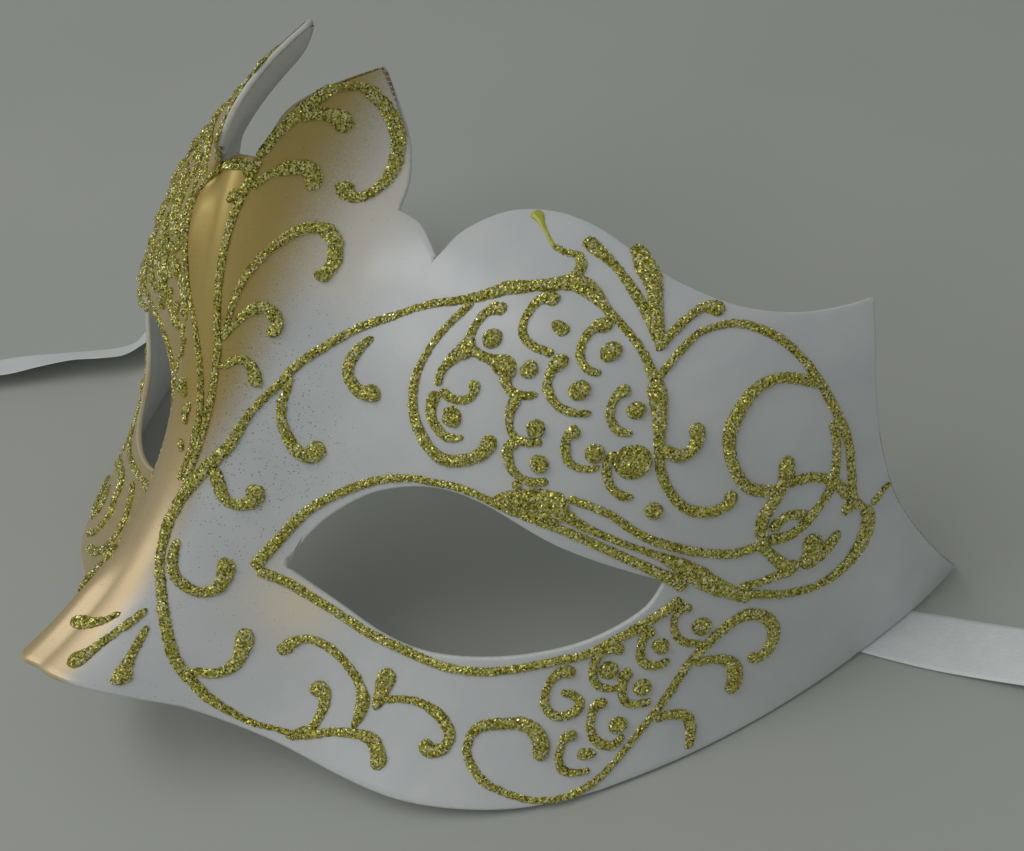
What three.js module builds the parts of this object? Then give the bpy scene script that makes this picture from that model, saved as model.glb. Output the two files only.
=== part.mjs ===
// Venetian eye mask with two satin tie ribbons, standing on its lower rim.
// Millimetres, +Z up, the painted face looks along -Y and the wearer's left is +X.
import * as THREE from 'three';
import { mergeVertices } from 'three/addons/utils/BufferGeometryUtils.js';

// The wall of the shell and the gap kept between two touching meshes.
const WALL = 1.0;
const TOUCH_GAP = 0.3;

// Lines plan of the face, read at four heights up the face. The face plane is
// x across, y up and z forward, before the mask is leaned back on the table.
const HEIGHTS = { from: -60, step: 32 };
const LINES = {
  halfWidth: [81, 79, 79.5, 76],
  wrapDepth: [59.5, 70.5, 79, 82],
  ridgeTop: [38, 12, 11, 7.5],
  ridgeRise: [30, 19, 13.5, 26.5],
  cheekSwell: [-2.5, 6.5, 6, 2],
};
const RIDGE_WIDTH = { atChin: 21, atBrow: 10, rise: 96 };
const LEAN_BACK = THREE.MathUtils.degToRad(30.2);
const FACE_HEIGHT = 56.4;

// The face is laid out flat: u runs round from the centre line, v runs up.
const ROLL_OUT = 80;

// The right-hand petal of the crest is bent back about a point low on the brow.
// The bend starts higher by the notch and leaves the middle of the crest alone.
const PETAL_BEND = {
  back: THREE.MathUtils.degToRad(17),
  turn: THREE.MathUtils.degToRad(4),
  splay: THREE.MathUtils.degToRad(-11),
  pivot: new THREE.Vector3(-9.4, 3.4, 18.4),
  startsAt: 20.5,
  startBlend: 1.5,
  byNotch: { later: 6, at: 3, reach: 4 },
  root: { onBrow: 3.8, onPetal: 1, from: 27.5, to: 31, blend: 0.5 },
  endsAt: 24.5,
  endBlend: 1.5,
};

// The right-hand half differs by handling: its brow is bent forward above a
// line, its cheek is pressed flatter, and its temple and the flanks of its nose
// and of its bridge are fuller.
const RIGHT_BROW = { push: 4.4, from: 19, to: 32, at: 36, reach: 16 };
const RIGHT_CHEEK = { press: 1.2, pressByEye: 0.9, eyeAt: -26, eyeReach: 10, at: 60, reach: 14 };
const RIGHT_TEMPLE = { push: 5, at: 76, reach: 19, height: -13.7, rise: 11.4 };
const RIGHT_NOSE = { swell: 2, from: 33, to: 43, at: 4.6 };
const RIGHT_BRIDGE = { swell: 3.6, from: 1, to: 17, fades: 20, ends: 27, at: 6.5 };

// The right-hand wing is sprung open about an upright line at its foot.
const OPEN_WING = {
  angle: THREE.MathUtils.degToRad(12),
  startsAt: 82,
  startBlend: 5,
  foot: new THREE.Vector3(-67.8, -1.7, 0),
};

// Outline of one half in the flat layout. Each list is one smooth stretch
// between two real corners.
const at = (u, v) => new THREE.Vector2(u, v);
const CREST_APEX = at(0, 29.3);
const NOTCH = { left: at(3, 29.6), right: at(3.6, 26.6) };
const PETAL_TIP = at(6.1, 45.3);
const PETAL_CORNER = at(17, 26.5);
const SCALLOP_NOTCH = at(26, 22.3);
const TEMPLE = at(87.7, 31.4);
const BACK_CORNER = at(136.5, -12);
const PETAL_INNER = [at(3, 34), at(3.4, 38)];
const PETAL_OUTER = [at(9.2, 40.1), at(12.9, 34.7), at(15.6, 30.3)];
const SCALLOP = [at(20.5, 25.7), at(23.8, 23.8)];
const BROW = [at(27.2, 26.8), at(31, 30.8), at(37, 32.5), at(44, 32.2), at(52, 30.4)];
const BROW_TO_TEMPLE = [at(60, 28.3), at(70, 27), at(78, 27.5), at(84, 29.4)];
const SIDE = [at(93, 25), at(98.5, 16.8), at(104, 9), at(110, 2.2), at(118, -3.6), at(127, -8.4)];
const NOSE_RIM = [at(0, -52.1), at(17, -52.4)];
const CHEEK_RIM = [at(28, -54.4), at(38, -56), at(48, -56.4), at(58, -55), at(68, -52.3), at(78, -48)];
const BACK_RIM = [at(88, -42.4), at(98, -36.3), at(108, -29.6), at(118, -22.7), at(128, -17.1)];
const EYE_INNER = at(18.4, -30.2);
const EYE_OUTER = at(76.8, -13.8);
const UPPER_LID = [
  at(19.4, -25.2), at(22.3, -19.8), at(28.5, -13.8), at(38, -9.4), at(47.5, -8.8), at(61, -11.9),
];
const LOWER_LID = [
  at(24.4, -32.6), at(34, -35.2), at(43.4, -35), at(55.6, -31.5), at(67, -26), at(74.6, -19.3),
];
const CENTRE_HEIGHT = -27;

// Steps of the mesh: across the nose, across the eye, and round the side.
const STEPS = { nose: 8, eye: 24, side: 15, crest: 2, scallop: 5, temple: 3 };
const ROWS = { below: 6, above: 10, petal: 7 };
const NOSE_CROWDING = 1.3;

// Ribbons of 12 mm satin, glued inside the back corners and led out under the
// rim. Tab rows are flat-layout places with a half width; floor rows are
// x, y, z on the table with a half width towards one edge.
const RIBBON = { width: 12, thick: 0.4 };
const TWIST = { length: 34, steps: 8, clear: 8.5 };
const ROLL = { outerTurn: 24.4, innerTurn: 15.6, slack: 0.6, sides: 40 };
const row = (x, y, z, hx, hy, hz) => ({
  middle: new THREE.Vector3(x, y, z),
  half: new THREE.Vector3(hx, hy, hz),
});
const LEFT_RIBBON = {
  sign: 1,
  tab: [
    [107, -13.6, 3.6, 4.8], [110.4, -15.9, 4.8, 4.2], [113.6, -18.4, 5.8, 3.6],
    [116.4, -20.5, 6, 3.4], [118, -21.6, 6, 3.4],
  ],
  floor: [
    row(76.9, 52.6, 0.7, 0.5, 6.4, 0), row(77.9, 52.9, 0.3, 0.2, 6.4, 0),
    row(79.5, 53.5, 0.25, 0, 6.4, 0), row(83, 54.9, 0.25, -0.9, 6.1, 0),
    row(88, 56.9, 0.35, -2.2, 5.6, 0), row(94, 59.3, 0.75, -2.2, 5.6, 0),
    row(99.5, 61.5, 1.3, -2.2, 5.6, 0), row(105, 63.7, 1.9, -2.2, 5.6, 0),
  ],
  heading: new THREE.Vector3(0.927, 0.375, 0),
  rollUp: 1,
  rollSide: 1,
};
const RIGHT_RIBBON = {
  sign: -1,
  tab: [
    [104.5, -16.4, 2.2, 5.6], [108.6, -18, 4.4, 4.8], [112.2, -19.5, 6.4, 3.9],
    [115.4, -20.8, 7, 3.9], [117.6, -21.6, 7, 3.9],
  ],
  floor: [
    row(-87.8, 49.4, 0.7, -2.1, 7, 0), row(-88.4, 48.6, 0.3, -1.8, 7.1, 0),
    row(-90, 47.3, 0.25, -1.9, 6.9, 0), row(-92.1, 44.4, 0.4, -3.7, 4.9, 0),
    row(-93.6, 39.6, 0.8, -5.3, 2.8, -0.4), row(-94.1, 33.6, 1.5, -5.9, 0.5, -1.1),
    row(-93, 28, 2.4, -5.6, 0.9, -2), row(-91.6, 23.4, 2.9, -5, 2.2, -2.4),
    row(-91.3, 19.2, 2.7, -4.3, 3.4, -2.4), row(-93.5, 15.4, 2.9, -3.7, 3.9, -2.7),
    row(-97.8, 11.1, 3, -3.6, 3.9, -2.8), row(-103, 6.1, 2.6, -3.7, 4, -2.4),
    row(-108.3, 0.9, 2.1, -4.1, 3.9, -1.9), row(-112.6, -4.2, 2.3, -4.3, 3.6, -2.1),
  ],
  heading: new THREE.Vector3(-0.67, -0.74, 0),
  rollUp: -1,
  rollSide: -1,
};

const PEARL = { color: '#c9ccd2', roughness: 0.28, metalness: 0.1 };
const SATIN = { color: '#e9ebec', roughness: 0.45, metalness: 0 };

function section(values, height) {
  const t = (height - HEIGHTS.from) / HEIGHTS.step;
  return (
    (values[0] * (t - 1) * (t - 2) * (t - 3)) / -6 +
    (values[1] * t * (t - 2) * (t - 3)) / 2 +
    (values[2] * t * (t - 1) * (t - 3)) / -2 +
    (values[3] * t * (t - 1) * (t - 2)) / 6
  );
}

function hump(x, { at: middle, reach }) {
  return Math.exp(-(((x - middle) / reach) ** 2));
}

function bendPetal(point, u, v) {
  const { onBrow, onPetal, from, to, blend } = PETAL_BEND.root;
  const rootAt = THREE.MathUtils.lerp(onBrow, onPetal, THREE.MathUtils.smoothstep(v, from, to));
  const root = 1 / (1 + Math.exp((rootAt - Math.abs(u)) / blend));
  const start = PETAL_BEND.startsAt + PETAL_BEND.byNotch.later * hump(Math.abs(u), PETAL_BEND.byNotch);
  const raised = 1 / (1 + Math.exp((start - v) / PETAL_BEND.startBlend));
  const within = 1 / (1 + Math.exp((Math.abs(u) - PETAL_BEND.endsAt) / PETAL_BEND.endBlend));
  const share = root * raised * within;
  point.sub(PETAL_BEND.pivot);
  point.applyAxisAngle(new THREE.Vector3(1, 0, 0), PETAL_BEND.back * share);
  point.applyAxisAngle(new THREE.Vector3(0, 1, 0), PETAL_BEND.turn * share);
  point.applyAxisAngle(new THREE.Vector3(0, 0, 1), PETAL_BEND.splay * share);
  return point.add(PETAL_BEND.pivot);
}

// A swelling beside the centre line, at its fullest at one distance from it.
function ridgeFlank(away, fullestAt) {
  const share = (away / fullestAt) ** 2;
  return share * Math.exp(1 - share);
}

// How far a flat place of the right-hand half lies before the even form.
function rightHandDepth(u, v) {
  const { smoothstep } = THREE.MathUtils;
  const away = Math.abs(u);
  const brow = RIGHT_BROW.push * smoothstep(v, RIGHT_BROW.from, RIGHT_BROW.to) * hump(away, RIGHT_BROW);
  const byEye = hump(v, { at: RIGHT_CHEEK.eyeAt, reach: RIGHT_CHEEK.eyeReach });
  const press = RIGHT_CHEEK.press + RIGHT_CHEEK.pressByEye * byEye;
  const byTemple = hump(v, { at: RIGHT_TEMPLE.height, reach: RIGHT_TEMPLE.rise });
  const temple = RIGHT_TEMPLE.push * byTemple * hump(away, RIGHT_TEMPLE);
  const low = smoothstep(-v, RIGHT_NOSE.from, RIGHT_NOSE.to);
  const nose = RIGHT_NOSE.swell * low * ridgeFlank(away, RIGHT_NOSE.at);
  const onBridge = smoothstep(v, RIGHT_BRIDGE.from, RIGHT_BRIDGE.to);
  const belowCrest = 1 - smoothstep(v, RIGHT_BRIDGE.fades, RIGHT_BRIDGE.ends);
  const bridge = RIGHT_BRIDGE.swell * onBridge * belowCrest * ridgeFlank(away, RIGHT_BRIDGE.at);
  return brow + temple - press * hump(away, RIGHT_CHEEK) + nose + bridge;
}

function openWing(point, u) {
  const share = 1 / (1 + Math.exp((OPEN_WING.startsAt - Math.abs(u)) / OPEN_WING.startBlend));
  point.sub(OPEN_WING.foot);
  point.applyAxisAngle(new THREE.Vector3(0, 0, 1), OPEN_WING.angle * share);
  return point.add(OPEN_WING.foot);
}

// A point of the outer face; u is negative on the wearer's right.
function faceSurface(u, v) {
  const angle = Math.abs(u) / ROLL_OUT;
  const across = section(LINES.halfWidth, v) * Math.sin(angle);
  const blend = (v - HEIGHTS.from) / RIDGE_WIDTH.rise;
  const ridge = THREE.MathUtils.lerp(RIDGE_WIDTH.atChin, RIDGE_WIDTH.atBrow, blend);
  const fall = section(LINES.ridgeRise, v) * (1 - Math.exp(-((across / ridge) ** 2)));
  const wrap = section(LINES.wrapDepth, v) * (1 - Math.cos(angle));
  const swell = section(LINES.cheekSwell, v) * Math.sin(2 * angle) ** 2;
  const forward = section(LINES.ridgeTop, v) - fall - wrap + swell;
  const depth = u < 0 ? forward + rightHandDepth(u, v) : forward;
  const point = new THREE.Vector3(Math.sign(u) * across, v, depth);
  const bent = u < 0 ? bendPetal(point, u, v) : point;
  bent.applyAxisAngle(new THREE.Vector3(1, 0, 0), Math.PI / 2 - LEAN_BACK);
  bent.setZ(bent.z + FACE_HEIGHT);
  return u < 0 ? openWing(bent, u) : bent;
}

function faceNormal(u, v) {
  const e = 0.05;
  const along = faceSurface(u + e, v).sub(faceSurface(u - e, v));
  const up = faceSurface(u, v + e).sub(faceSurface(u, v - e));
  return along.cross(up).normalize();
}

// A point at a depth behind the outer face.
function shellPoint(u, v, depth) {
  return faceSurface(u, v).addScaledVector(faceNormal(u, v), -depth);
}

// Points at equal steps along one smooth stretch, ends included.
function stretch(points, steps) {
  return new THREE.SplineCurve(points).getSpacedPoints(steps);
}

// Several stretches one after the other, with each shared corner kept once.
function chain(...stretches) {
  return stretches.reduce((all, next) => all.concat(all.length ? next.slice(1) : next), []);
}

// Steps over the nose are crowded towards the sharp centre line.
function noseSteps(end, start, steps, from = 0) {
  const span = STEPS.nose ** NOSE_CROWDING;
  const share = (k) => k ** NOSE_CROWDING / span;
  const first = share(from);
  const points = [];
  for (let k = from; k <= from + steps; k += 1) {
    points.push(start.clone().lerp(end, (share(k) - first) / (share(from + steps) - first)));
  }
  return points;
}

// The four lines that every column of the mesh hangs on, for one side.
function guideLines(side) {
  const notch = NOTCH[side];
  const cheekEnd = CHEEK_RIM[CHEEK_RIM.length - 1];
  const brow = [SCALLOP_NOTCH, ...BROW, ...BROW_TO_TEMPLE, TEMPLE];
  const browLine = stretch(brow, STEPS.eye - STEPS.scallop + STEPS.temple);
  const top = chain(
    noseSteps(notch, CREST_APEX, STEPS.crest),
    noseSteps(PETAL_CORNER, notch, STEPS.nose - STEPS.crest, STEPS.crest),
    stretch([PETAL_CORNER, ...SCALLOP, SCALLOP_NOTCH], STEPS.scallop),
    browLine,
    stretch([TEMPLE, ...SIDE, BACK_CORNER], STEPS.side - STEPS.temple),
  );
  const rimEnd = NOSE_RIM[NOSE_RIM.length - 1];
  const rim = chain(
    noseSteps(rimEnd, NOSE_RIM[0], STEPS.nose),
    stretch([rimEnd, ...CHEEK_RIM], STEPS.eye),
    stretch([cheekEnd, ...BACK_RIM, BACK_CORNER], STEPS.side),
  );
  const inwards = noseSteps(EYE_INNER, at(0, CENTRE_HEIGHT), STEPS.nose);
  const outwards = stretch([EYE_OUTER, BACK_CORNER], STEPS.side);
  const lower = chain(inwards, stretch([EYE_INNER, ...LOWER_LID, EYE_OUTER], STEPS.eye), outwards);
  const upper = chain(inwards, stretch([EYE_INNER, ...UPPER_LID, EYE_OUTER], STEPS.eye), outwards);
  return { top, rim, lower, upper };
}

function bandBetween(lowLine, highLine, rows) {
  return lowLine.map((low, i) => {
    const column = [];
    for (let j = 0; j <= rows; j += 1) {
      column.push(low.clone().lerp(highLine[i], j / rows));
    }
    return column;
  });
}

// Triangles of one half in the flat layout, counter-clockwise for u > 0.
function halfTriangles(side) {
  const { top, rim, lower, upper } = guideLines(side);
  const triangles = [];
  const addGrid = (grid) => {
    for (let i = 0; i + 1 < grid.length; i += 1) {
      for (let j = 0; j + 1 < grid[i].length; j += 1) {
        const [a, b] = [grid[i][j], grid[i + 1][j]];
        const [c, d] = [grid[i + 1][j + 1], grid[i][j + 1]];
        triangles.push([a, b, c], [a, c, d]);
      }
    }
  };
  addGrid(bandBetween(rim, lower, ROWS.below));
  addGrid(bandBetween(upper, top, ROWS.above));
  addGrid(petalGrid(side, top.slice(STEPS.crest, STEPS.nose + 1)));
  return triangles;
}

// Columns of the crest petal, from its root on the top line to its tip.
function petalGrid(side, root) {
  const inner = stretch([NOTCH[side], ...PETAL_INNER, PETAL_TIP], ROWS.petal);
  const outer = stretch([PETAL_CORNER, ...[...PETAL_OUTER].reverse(), PETAL_TIP], ROWS.petal);
  const first = root[0];
  const rootWidth = root[root.length - 1].distanceTo(first);
  return root.map((foot) => {
    const share = foot.distanceTo(first) / rootWidth;
    const column = inner.map((point, j) => point.clone().lerp(outer[j], share));
    column[0] = foot;
    return column;
  });
}

// The flat layout of the whole mask: points, and triangles that index them.
function flatLayout() {
  const points = [];
  const indexOf = new Map();
  const indexFor = (u, v) => {
    const key = `${u.toFixed(4)},${v.toFixed(4)}`;
    if (!indexOf.has(key)) {
      indexOf.set(key, points.length);
      points.push([u, v]);
    }
    return indexOf.get(key);
  };
  const triangles = [];
  for (const [side, sign] of [['left', 1], ['right', -1]]) {
    for (const corners of halfTriangles(side)) {
      const indices = corners.map((p) => indexFor(sign * p.x + 0, p.y));
      if (new Set(indices).size === 3) {
        triangles.push(sign > 0 ? indices : indices.reverse());
      }
    }
  }
  return { points, triangles };
}

// Edges that only one triangle uses, in the direction that it uses them.
function openEdges(triangles) {
  const edges = new Map();
  for (const [a, b, c] of triangles) {
    for (const [from, to] of [[a, b], [b, c], [c, a]]) {
      if (!edges.delete(`${to},${from}`)) {
        edges.set(`${from},${to}`, [from, to]);
      }
    }
  }
  return [...edges.values()];
}

function closedGeometry(positions, triangles) {
  const geometry = new THREE.BufferGeometry();
  geometry.setAttribute('position', new THREE.Float32BufferAttribute(positions, 3));
  geometry.setIndex(triangles.flat());
  return geometry;
}

function shellGeometry() {
  const { points, triangles } = flatLayout();
  const inside = points.length;
  const positions = [];
  for (const depth of [0, WALL]) {
    for (const [u, v] of points) {
      positions.push(...shellPoint(u, v, depth).toArray());
    }
  }
  const faces = [...triangles];
  for (const [a, b, c] of triangles) {
    faces.push([a + inside, c + inside, b + inside]);
  }
  for (const [a, b] of openEdges(triangles)) {
    faces.push([b, a, a + inside], [b, a + inside, b + inside]);
  }
  return closedGeometry(positions, faces);
}

// Rows of the glued tab, set at a small gap behind the inner face.
function tabRows(ribbon) {
  const depth = WALL + TOUCH_GAP + RIBBON.thick / 2;
  return ribbon.tab.map(([u, v, du, dv]) => {
    const front = shellPoint(ribbon.sign * (u + du), v + dv, depth);
    const back = shellPoint(ribbon.sign * (u - du), v - dv, depth);
    return {
      middle: front.clone().add(back).multiplyScalar(0.5),
      half: front.clone().sub(back).multiplyScalar(0.5),
    };
  });
}

// Rows that turn the ribbon from lying down to standing on its edge.
function twistRows(ribbon) {
  const last = ribbon.floor[ribbon.floor.length - 1];
  const heading = ribbon.heading.clone().normalize();
  const flat = last.half.clone().setZ(0).normalize();
  const start = Math.asin(last.half.z / last.half.length());
  const rows = [];
  for (let k = 1; k <= TWIST.steps; k += 1) {
    const share = k / TWIST.steps;
    const turned = THREE.MathUtils.smoothstep(share, 0, 1);
    const angle = THREE.MathUtils.lerp(start, (ribbon.rollUp * Math.PI) / 2, turned);
    const half = flat.clone().multiplyScalar(Math.cos(angle) * (RIBBON.width / 2));
    half.z = Math.sin(angle) * (RIBBON.width / 2);
    const middle = last.middle.clone().addScaledVector(heading, TWIST.length * share);
    const lift = Math.abs(half.z) + (RIBBON.thick / 2) * Math.cos(angle);
    middle.z = Math.max(THREE.MathUtils.lerp(last.middle.z, RIBBON.width / 2, turned), lift);
    rows.push({ middle, half });
  }
  return rows;
}

function ribbonGeometry(ribbon) {
  const rows = [...tabRows(ribbon), ...ribbon.floor, ...twistRows(ribbon)];
  const positions = [];
  rows.forEach(({ middle, half }, k) => {
    const before = rows[Math.max(k - 1, 0)].middle;
    const after = rows[Math.min(k + 1, rows.length - 1)].middle;
    const through = half.clone().cross(after.clone().sub(before)).setLength(RIBBON.thick / 2);
    for (const [edge, face] of [[-1, -1], [1, -1], [1, 1], [-1, 1]]) {
      const corner = middle.clone().addScaledVector(half, edge).addScaledVector(through, face);
      positions.push(...corner.toArray());
    }
  });
  const faces = [[0, 1, 2], [0, 2, 3]];
  for (let k = 0; k + 1 < rows.length; k += 1) {
    for (let c = 0; c < 4; c += 1) {
      const [a, b] = [4 * k + c, 4 * k + ((c + 1) % 4)];
      faces.push([a, a + 4, b + 4], [a, b + 4, b]);
    }
  }
  const end = 4 * (rows.length - 1);
  faces.push([end, end + 2, end + 1], [end, end + 3, end + 2]);
  return closedGeometry(positions, faces);
}

// The stored roll of each ribbon, standing on its edge, as one ring.
function rollGeometry() {
  const outer = ROLL.outerTurn + ROLL.slack;
  const inner = ROLL.innerTurn - ROLL.slack;
  const profile = [at(inner, 0), at(outer, 0), at(outer, RIBBON.width), at(inner, RIBBON.width)];
  const ring = new THREE.LatheGeometry([...profile, profile[0]], ROLL.sides);
  ring.rotateX(Math.PI / 2);
  ring.deleteAttribute('normal');
  ring.deleteAttribute('uv');
  return mergeVertices(ring);
}

function rollCentre(ribbon) {
  const last = ribbon.floor[ribbon.floor.length - 1];
  const heading = ribbon.heading.clone().normalize();
  const sideways = new THREE.Vector3(heading.y, -heading.x, 0).multiplyScalar(ribbon.rollSide);
  const run = TWIST.length + TWIST.clear;
  return last.middle.clone().addScaledVector(heading, run).addScaledVector(sideways, ROLL.outerTurn);
}

function named(name, geometry, finish) {
  const mesh = new THREE.Mesh(geometry, new THREE.MeshStandardMaterial(finish));
  mesh.name = name;
  return mesh;
}

// The origin is the middle of the shell's footprint, on the table.
function seat(model, shell) {
  shell.geometry.computeBoundingBox();
  const box = shell.geometry.boundingBox;
  const middle = box.getCenter(new THREE.Vector3());
  model.position.set(-middle.x, -middle.y, -box.min.z);
}

function buildMask() {
  const mask = new THREE.Group();
  const shell = named('mask_shell', shellGeometry(), PEARL);
  mask.add(shell);
  for (const [side, ribbon] of [['left', LEFT_RIBBON], ['right', RIGHT_RIBBON]]) {
    mask.add(named(`${side}_ribbon`, ribbonGeometry(ribbon), SATIN));
    const roll = named(`${side}_ribbon_roll`, rollGeometry(), SATIN);
    roll.position.copy(rollCentre(ribbon)).setZ(0);
    mask.add(roll);
  }
  seat(mask, shell);
  return mask;
}

export default buildMask();
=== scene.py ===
"""Venetian eye mask: a pearl shell with glitter scrollwork and two satin tie ribbons."""
import math

import bpy
import numpy as np
from mathutils import Matrix, Vector


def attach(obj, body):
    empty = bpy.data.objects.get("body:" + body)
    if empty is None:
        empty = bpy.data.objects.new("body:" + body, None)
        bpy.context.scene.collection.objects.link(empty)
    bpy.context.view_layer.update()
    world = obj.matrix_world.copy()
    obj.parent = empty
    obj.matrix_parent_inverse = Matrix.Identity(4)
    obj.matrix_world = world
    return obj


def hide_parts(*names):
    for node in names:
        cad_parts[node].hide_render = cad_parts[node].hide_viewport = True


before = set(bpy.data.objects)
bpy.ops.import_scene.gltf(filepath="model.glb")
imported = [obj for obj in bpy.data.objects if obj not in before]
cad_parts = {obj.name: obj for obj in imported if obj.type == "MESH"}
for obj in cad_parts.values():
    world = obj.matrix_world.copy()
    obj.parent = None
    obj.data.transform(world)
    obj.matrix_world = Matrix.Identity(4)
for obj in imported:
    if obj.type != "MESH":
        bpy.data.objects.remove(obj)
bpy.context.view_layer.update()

MM = 0.001
BODY = "root"

# Camera of the photograph, in the part's own frame.
CAMERA = {
    "place": (208.07, -114.01, 208.26),
    "azimuth": 53.311,
    "elevation": 38.485,
    "roll": -10.613,
    "lens": 61.58,
    "sensor": 36.0,
}

# The lines plan of the face and the flat layout are the ones that the solids use.
SEAT = np.array([7.07, -10.189, 0.083])
WALL = 1.0
HEIGHTS = {"from": -60.0, "step": 32.0}
LINES = {
    "half_width": (81, 79, 79.5, 76),
    "wrap_depth": (59.5, 70.5, 79, 82),
    "ridge_top": (38, 12, 11, 7.5),
    "ridge_rise": (30, 19, 13.5, 26.5),
    "cheek_swell": (-2.5, 6.5, 6, 2),
}
RIDGE_WIDTH = {"at_chin": 21.0, "at_brow": 10.0, "rise": 96.0}
LEAN_BACK = math.radians(30.2)
FACE_HEIGHT = 56.4
ROLL_OUT = 80.0
PETAL_BEND = {
    "back": math.radians(17),
    "turn": math.radians(4),
    "splay": math.radians(-11),
    "pivot": np.array([-9.4, 3.4, 18.4]),
    "starts_at": 20.5,
    "start_blend": 1.5,
    "by_notch": {"later": 6.0, "at": 3.0, "reach": 4.0},
    "root": {"on_brow": 3.8, "on_petal": 1.0, "from": 27.5, "to": 31.0, "blend": 0.5},
    "ends_at": 24.5,
    "end_blend": 1.5,
}
RIGHT_BROW = {"push": 4.4, "from": 19.0, "to": 32.0, "at": 36.0, "reach": 16.0}
RIGHT_CHEEK = {"press": 1.2, "by_eye": 0.9, "eye_at": -26.0, "eye_reach": 10.0, "at": 60.0, "reach": 14.0}
RIGHT_TEMPLE = {"push": 5.0, "at": 76.0, "reach": 19.0, "height": -13.7, "rise": 11.4}
RIGHT_NOSE = {"swell": 2.0, "from": 33.0, "to": 43.0, "at": 4.6}
RIGHT_BRIDGE = {"swell": 3.6, "from": 1.0, "to": 17.0, "fades": 20.0, "ends": 27.0, "at": 6.5}
OPEN_WING = {
    "angle": math.radians(12),
    "starts_at": 82.0,
    "start_blend": 5.0,
    "foot": np.array([-67.8, -1.7, 0]),
}

CREST_APEX = (0, 29.3)
NOTCH = {"left": (3, 29.6), "right": (3.6, 26.6)}
PETAL_TIP = (6.1, 45.3)
PETAL_CORNER = (17, 26.5)
SCALLOP_NOTCH = (26, 22.3)
TEMPLE = (87.7, 31.4)
BACK_CORNER = (136.5, -12)
PETAL_INNER = [(3, 34), (3.4, 38)]
PETAL_OUTER = [(9.2, 40.1), (12.9, 34.7), (15.6, 30.3)]
SCALLOP = [(20.5, 25.7), (23.8, 23.8)]
BROW = [(27.2, 26.8), (31, 30.8), (37, 32.5), (44, 32.2), (52, 30.4)]
BROW_TO_TEMPLE = [(60, 28.3), (70, 27), (78, 27.5), (84, 29.4)]
SIDE = [(93, 25), (98.5, 16.8), (104, 9), (110, 2.2), (118, -3.6), (127, -8.4)]
NOSE_RIM = [(0, -52.1), (17, -52.4)]
CHEEK_RIM = [(28, -54.4), (38, -56), (48, -56.4), (58, -55), (68, -52.3), (78, -48)]
BACK_RIM = [(88, -42.4), (98, -36.3), (108, -29.6), (118, -22.7), (128, -17.1)]
EYE_INNER = (18.4, -30.2)
EYE_OUTER = (76.8, -13.8)
UPPER_LID = [(19.4, -25.2), (22.3, -19.8), (28.5, -13.8), (38, -9.4), (47.5, -8.8), (61, -11.9)]
LOWER_LID = [(24.4, -32.6), (34, -35.2), (43.4, -35), (55.6, -31.5), (67, -26), (74.6, -19.3)]
CENTRE_HEIGHT = -27.0

# Steps of the fine mesh, four for each step of the solid.
FINE = 4
STEPS = {"nose": 8 * FINE, "eye": 24 * FINE, "side": 15 * FINE, "crest": 2 * FINE,
         "scallop": 5 * FINE, "temple": 3 * FINE}
ROWS = {"below": 6 * FINE, "above": 10 * FINE, "petal": 7 * FINE}
NOSE_CROWDING = 1.3
EDGE_ROUND = 0.3

# Ribbons of 12 mm satin. Tab rows are flat-layout places with a half width, and
# floor rows are x, y, z on the table with a half width towards one edge.
RIBBON = {"width": 12.0, "thick": 0.22, "solid_thick": 0.4, "gap": 0.3}
BAND = {"row_step": 0.8, "columns": 15, "curve_steps": 12, "edge_thins_by": 0.7, "edge_power": 8}
TWIST = {"length": 34.0, "steps": 8, "clear": 8.5}
ROLL = {"outer_turn": 24.4, "inner_turn": 15.6, "turns": 2, "points": 14}
RIBBONS = {
    "left_ribbon": {
        "sign": 1,
        "tab": [(107, -13.6, 3.6, 4.8), (110.4, -15.9, 4.8, 4.2), (113.6, -18.4, 5.8, 3.6),
                (116.4, -20.5, 6, 3.4), (118, -21.6, 6, 3.4)],
        "floor": [(76.9, 52.6, 0.7, 0.5, 6.4, 0), (77.9, 52.9, 0.3, 0.2, 6.4, 0),
                  (79.5, 53.5, 0.25, 0, 6.4, 0), (83, 54.9, 0.25, -0.9, 6.1, 0),
                  (88, 56.9, 0.35, -2.2, 5.6, 0), (94, 59.3, 0.75, -2.2, 5.6, 0),
                  (99.5, 61.5, 1.3, -2.2, 5.6, 0), (105, 63.7, 1.9, -2.2, 5.6, 0)],
        "heading": (0.927, 0.375, 0),
        "roll_up": 1,
        "roll_side": 1,
        "exit_row": 1,
        "length": 0.33,
    },
    "right_ribbon": {
        "sign": -1,
        "tab": [(104.5, -16.4, 2.2, 5.6), (108.6, -18, 4.4, 4.8), (112.2, -19.5, 6.4, 3.9),
                (115.4, -20.8, 7, 3.9), (117.6, -21.6, 7, 3.9)],
        "floor": [(-87.8, 49.4, 0.7, -2.1, 7, 0), (-88.4, 48.6, 0.3, -1.8, 7.1, 0),
                  (-90, 47.3, 0.25, -1.9, 6.9, 0), (-92.1, 44.4, 0.4, -3.7, 4.9, 0),
                  (-93.6, 39.6, 0.8, -5.3, 2.8, -0.4), (-94.1, 33.6, 1.5, -5.9, 0.5, -1.1),
                  (-93, 28, 2.4, -5.6, 0.9, -2), (-91.6, 23.4, 2.9, -5, 2.2, -2.4),
                  (-91.3, 19.2, 2.7, -4.3, 3.4, -2.4), (-93.5, 15.4, 2.9, -3.7, 3.9, -2.7),
                  (-97.8, 11.1, 3, -3.6, 3.9, -2.8), (-103, 6.1, 2.6, -3.7, 4, -2.4),
                  (-108.3, 0.9, 2.1, -4.1, 3.9, -1.9), (-112.6, -4.2, 2.3, -4.3, 3.6, -2.1)],
        "heading": (-0.67, -0.74, 0),
        "roll_up": -1,
        "roll_side": -1,
        "exit_row": 1,
        "length": 0.381,
    },
}

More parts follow.
